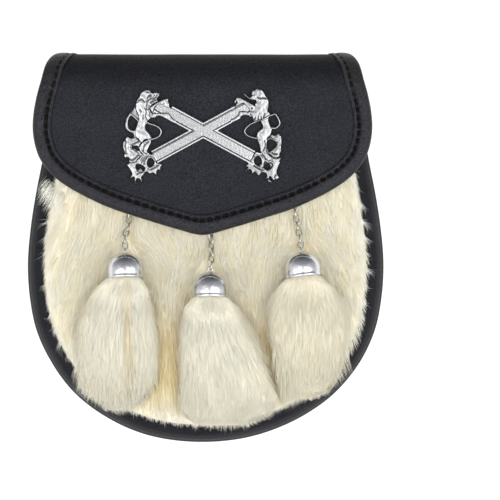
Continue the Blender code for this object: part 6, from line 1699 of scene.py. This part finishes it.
    # at its sides the tassel has no sharp outline: hair slopes from its shoulder down on to the front
    n, K = (1650), 5
    t = np.linspace(0, 1, K)[None]
    flank = np.where(rng.uniform(0, 1, n) < 0.5, 0.0, np.pi)
    angle = flank + np.where(flank == 0, 1, -1) * rng.uniform(0.10, 0.95, n)
    s0 = rng.uniform(0.07, 0.84, n)
    s = s0[:, None] + rng.uniform(0.13, 0.26, n)[:, None] * t
    s = np.minimum(s, 1.0 + 0.02 * rng.uniform(-1, 1, n)[:, None])
    path = ring_point(s, angle[:, None] + np.zeros_like(s), 0.97 + 0.03 * t)
    base = path.copy()
    wide = 1.02 + 0.17 * rng.uniform(0, 1, n) ** 1.4 + 0.035 * ripple(flank * 30, s0 * 60, 6.0, seed + 8)
    for way, more, where, reach in SPREAD[chain]:  # its shoulders spread
        wide = wide + more * (flank == way) * np.exp(-((s0 - where) / reach) ** 2) * rng.uniform(0.2, 1, n)
    edge_x = ring_point(s, flank[:, None] + np.zeros_like(s), wide[:, None] + np.zeros_like(s))[..., 0]
    out = rng.uniform(0.45, 1.0, n)[:, None] * t**1.25
    path[..., 0] = base[..., 0] + (edge_x - base[..., 0]) * out
    rest = 39.4 + rng.uniform(0, 2.6, n)[:, None]
    path[..., 2] = base[..., 2] + (np.minimum(rest, base[..., 2]) - base[..., 2]) * out**1.5
    verts, quads, tris, along, per = strand_mesh(path, rng.uniform(0.05, 0.09, n), (0.8, 1.0, 0.8, 0.4))
    side_lay = np.stack([0.35 * np.cos(flank), np.zeros(n), np.ones(n)], 1)
    side = (verts, quads, tris, along, np.repeat(rng.uniform(0.4, 0.9, n), per), np.repeat(rng.uniform(0.1, 0.4, n), per),
            np.repeat(side_lay / np.linalg.norm(side_lay, axis=1)[:, None], per, axis=0))

    # its foot ends in uneven points that hang free over what lies below
    n, K = (1350), 5
    t = np.linspace(0, 1, K)[None]
    angle = rng.uniform(0.04, 0.96, n) * np.pi
    s0 = 0.97 - 0.45 * rng.uniform(0, 1, n) ** 1.9
    root = ring_point(s0, angle, np.full(n, 0.985))
    across = root[:, 0] - rows[-1, 1]
    point = np.round(root[:, 0] / 2.3 + 0.5 * ripple(root[:, 0], root[:, 1], 5.0, seed + 7))
    low_y = np.interp(root[:, 0], *FEET[chain])
    foot_y = low_y + 0.2 - 4.6 * (np.sin(point * 12.9) * 0.5 + 0.5) * rng.uniform(0.2, 1.0, n) + rng.normal(0, 1.4, n)
    drop = np.clip(root[:, 1] - foot_y, 3.0, rng.uniform(15.0, 24.0, n))
    gather = (point * 2.3 - root[:, 0]) * 0.6
    tilt = 0.26 * across + rng.normal(0, 1.0, n)
    fx = root[:, 0][:, None] + (gather[:, None] + tilt[:, None] * 0.5) * t**1.5
    fy = root[:, 1][:, None] - drop[:, None] * t
    rest = np.minimum(root[:, 2], 38.6 + 3.0 * rng.uniform(0, 1, n))[:, None]
    fz = root[:, 2][:, None] + 0.3 * np.sin(np.pi * t * 0.75) + (rest - root[:, 2][:, None]) * t**2.4
    path = np.stack([fx, fy, fz], -1)
    verts, quads, tris, along, per = strand_mesh(path, rng.uniform(0.055, 0.10, n), (0.8, 1.0, 0.80, 0.32))
    foot_lay = np.stack([0.1 * np.cos(angle), -0.05 * np.ones(n), np.ones(n)], 1)
    foot = (verts, quads, tris, along, np.repeat(rng.uniform(0.5, 1.0, n), per), np.repeat(rng.uniform(0.0, 0.2, n) + BLUSH[chain] * 0.5, per),
            np.repeat(foot_lay / np.linalg.norm(foot_lay, axis=1)[:, None], per, axis=0))

    for name, mat, layers in ((f"tassel_{chain}_hair", TASSEL_HAIR_MAT, (under, over)), (f"tassel_{chain}_fringe", FRINGE_MAT, (side, foot))):
        verts, quads, tris = joined([layer[:3] for layer in layers])
        me = link_mesh(name, verts, quads, tris)
        for slot, kind in ((3, "along"), (4, "tint"), (5, "warm")):
            attribute(me, kind, np.concatenate([layer[slot] for layer in layers]))
        lay_of(me, np.concatenate([layer[6] for layer in layers]))
        place(me, mat, [], smooth=None)


# ---------------------------------------------------------------- put together
build_stage()
body_points, body_normals = build_body()
build_flap()
build_badge()
build_metal()
build_rings()
build_front(body_points, body_normals)
for number, chain_name in enumerate(("left", "centre", "right")):
    build_tassel(chain_name, 100 + 10 * number)

for node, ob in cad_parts.items():  # what is carried over: the studs and eyes
    for slot_ in ob.material_slots:
        slot_.material = CHAIN_MAT if node.startswith("chain_eye") else RING_MAT
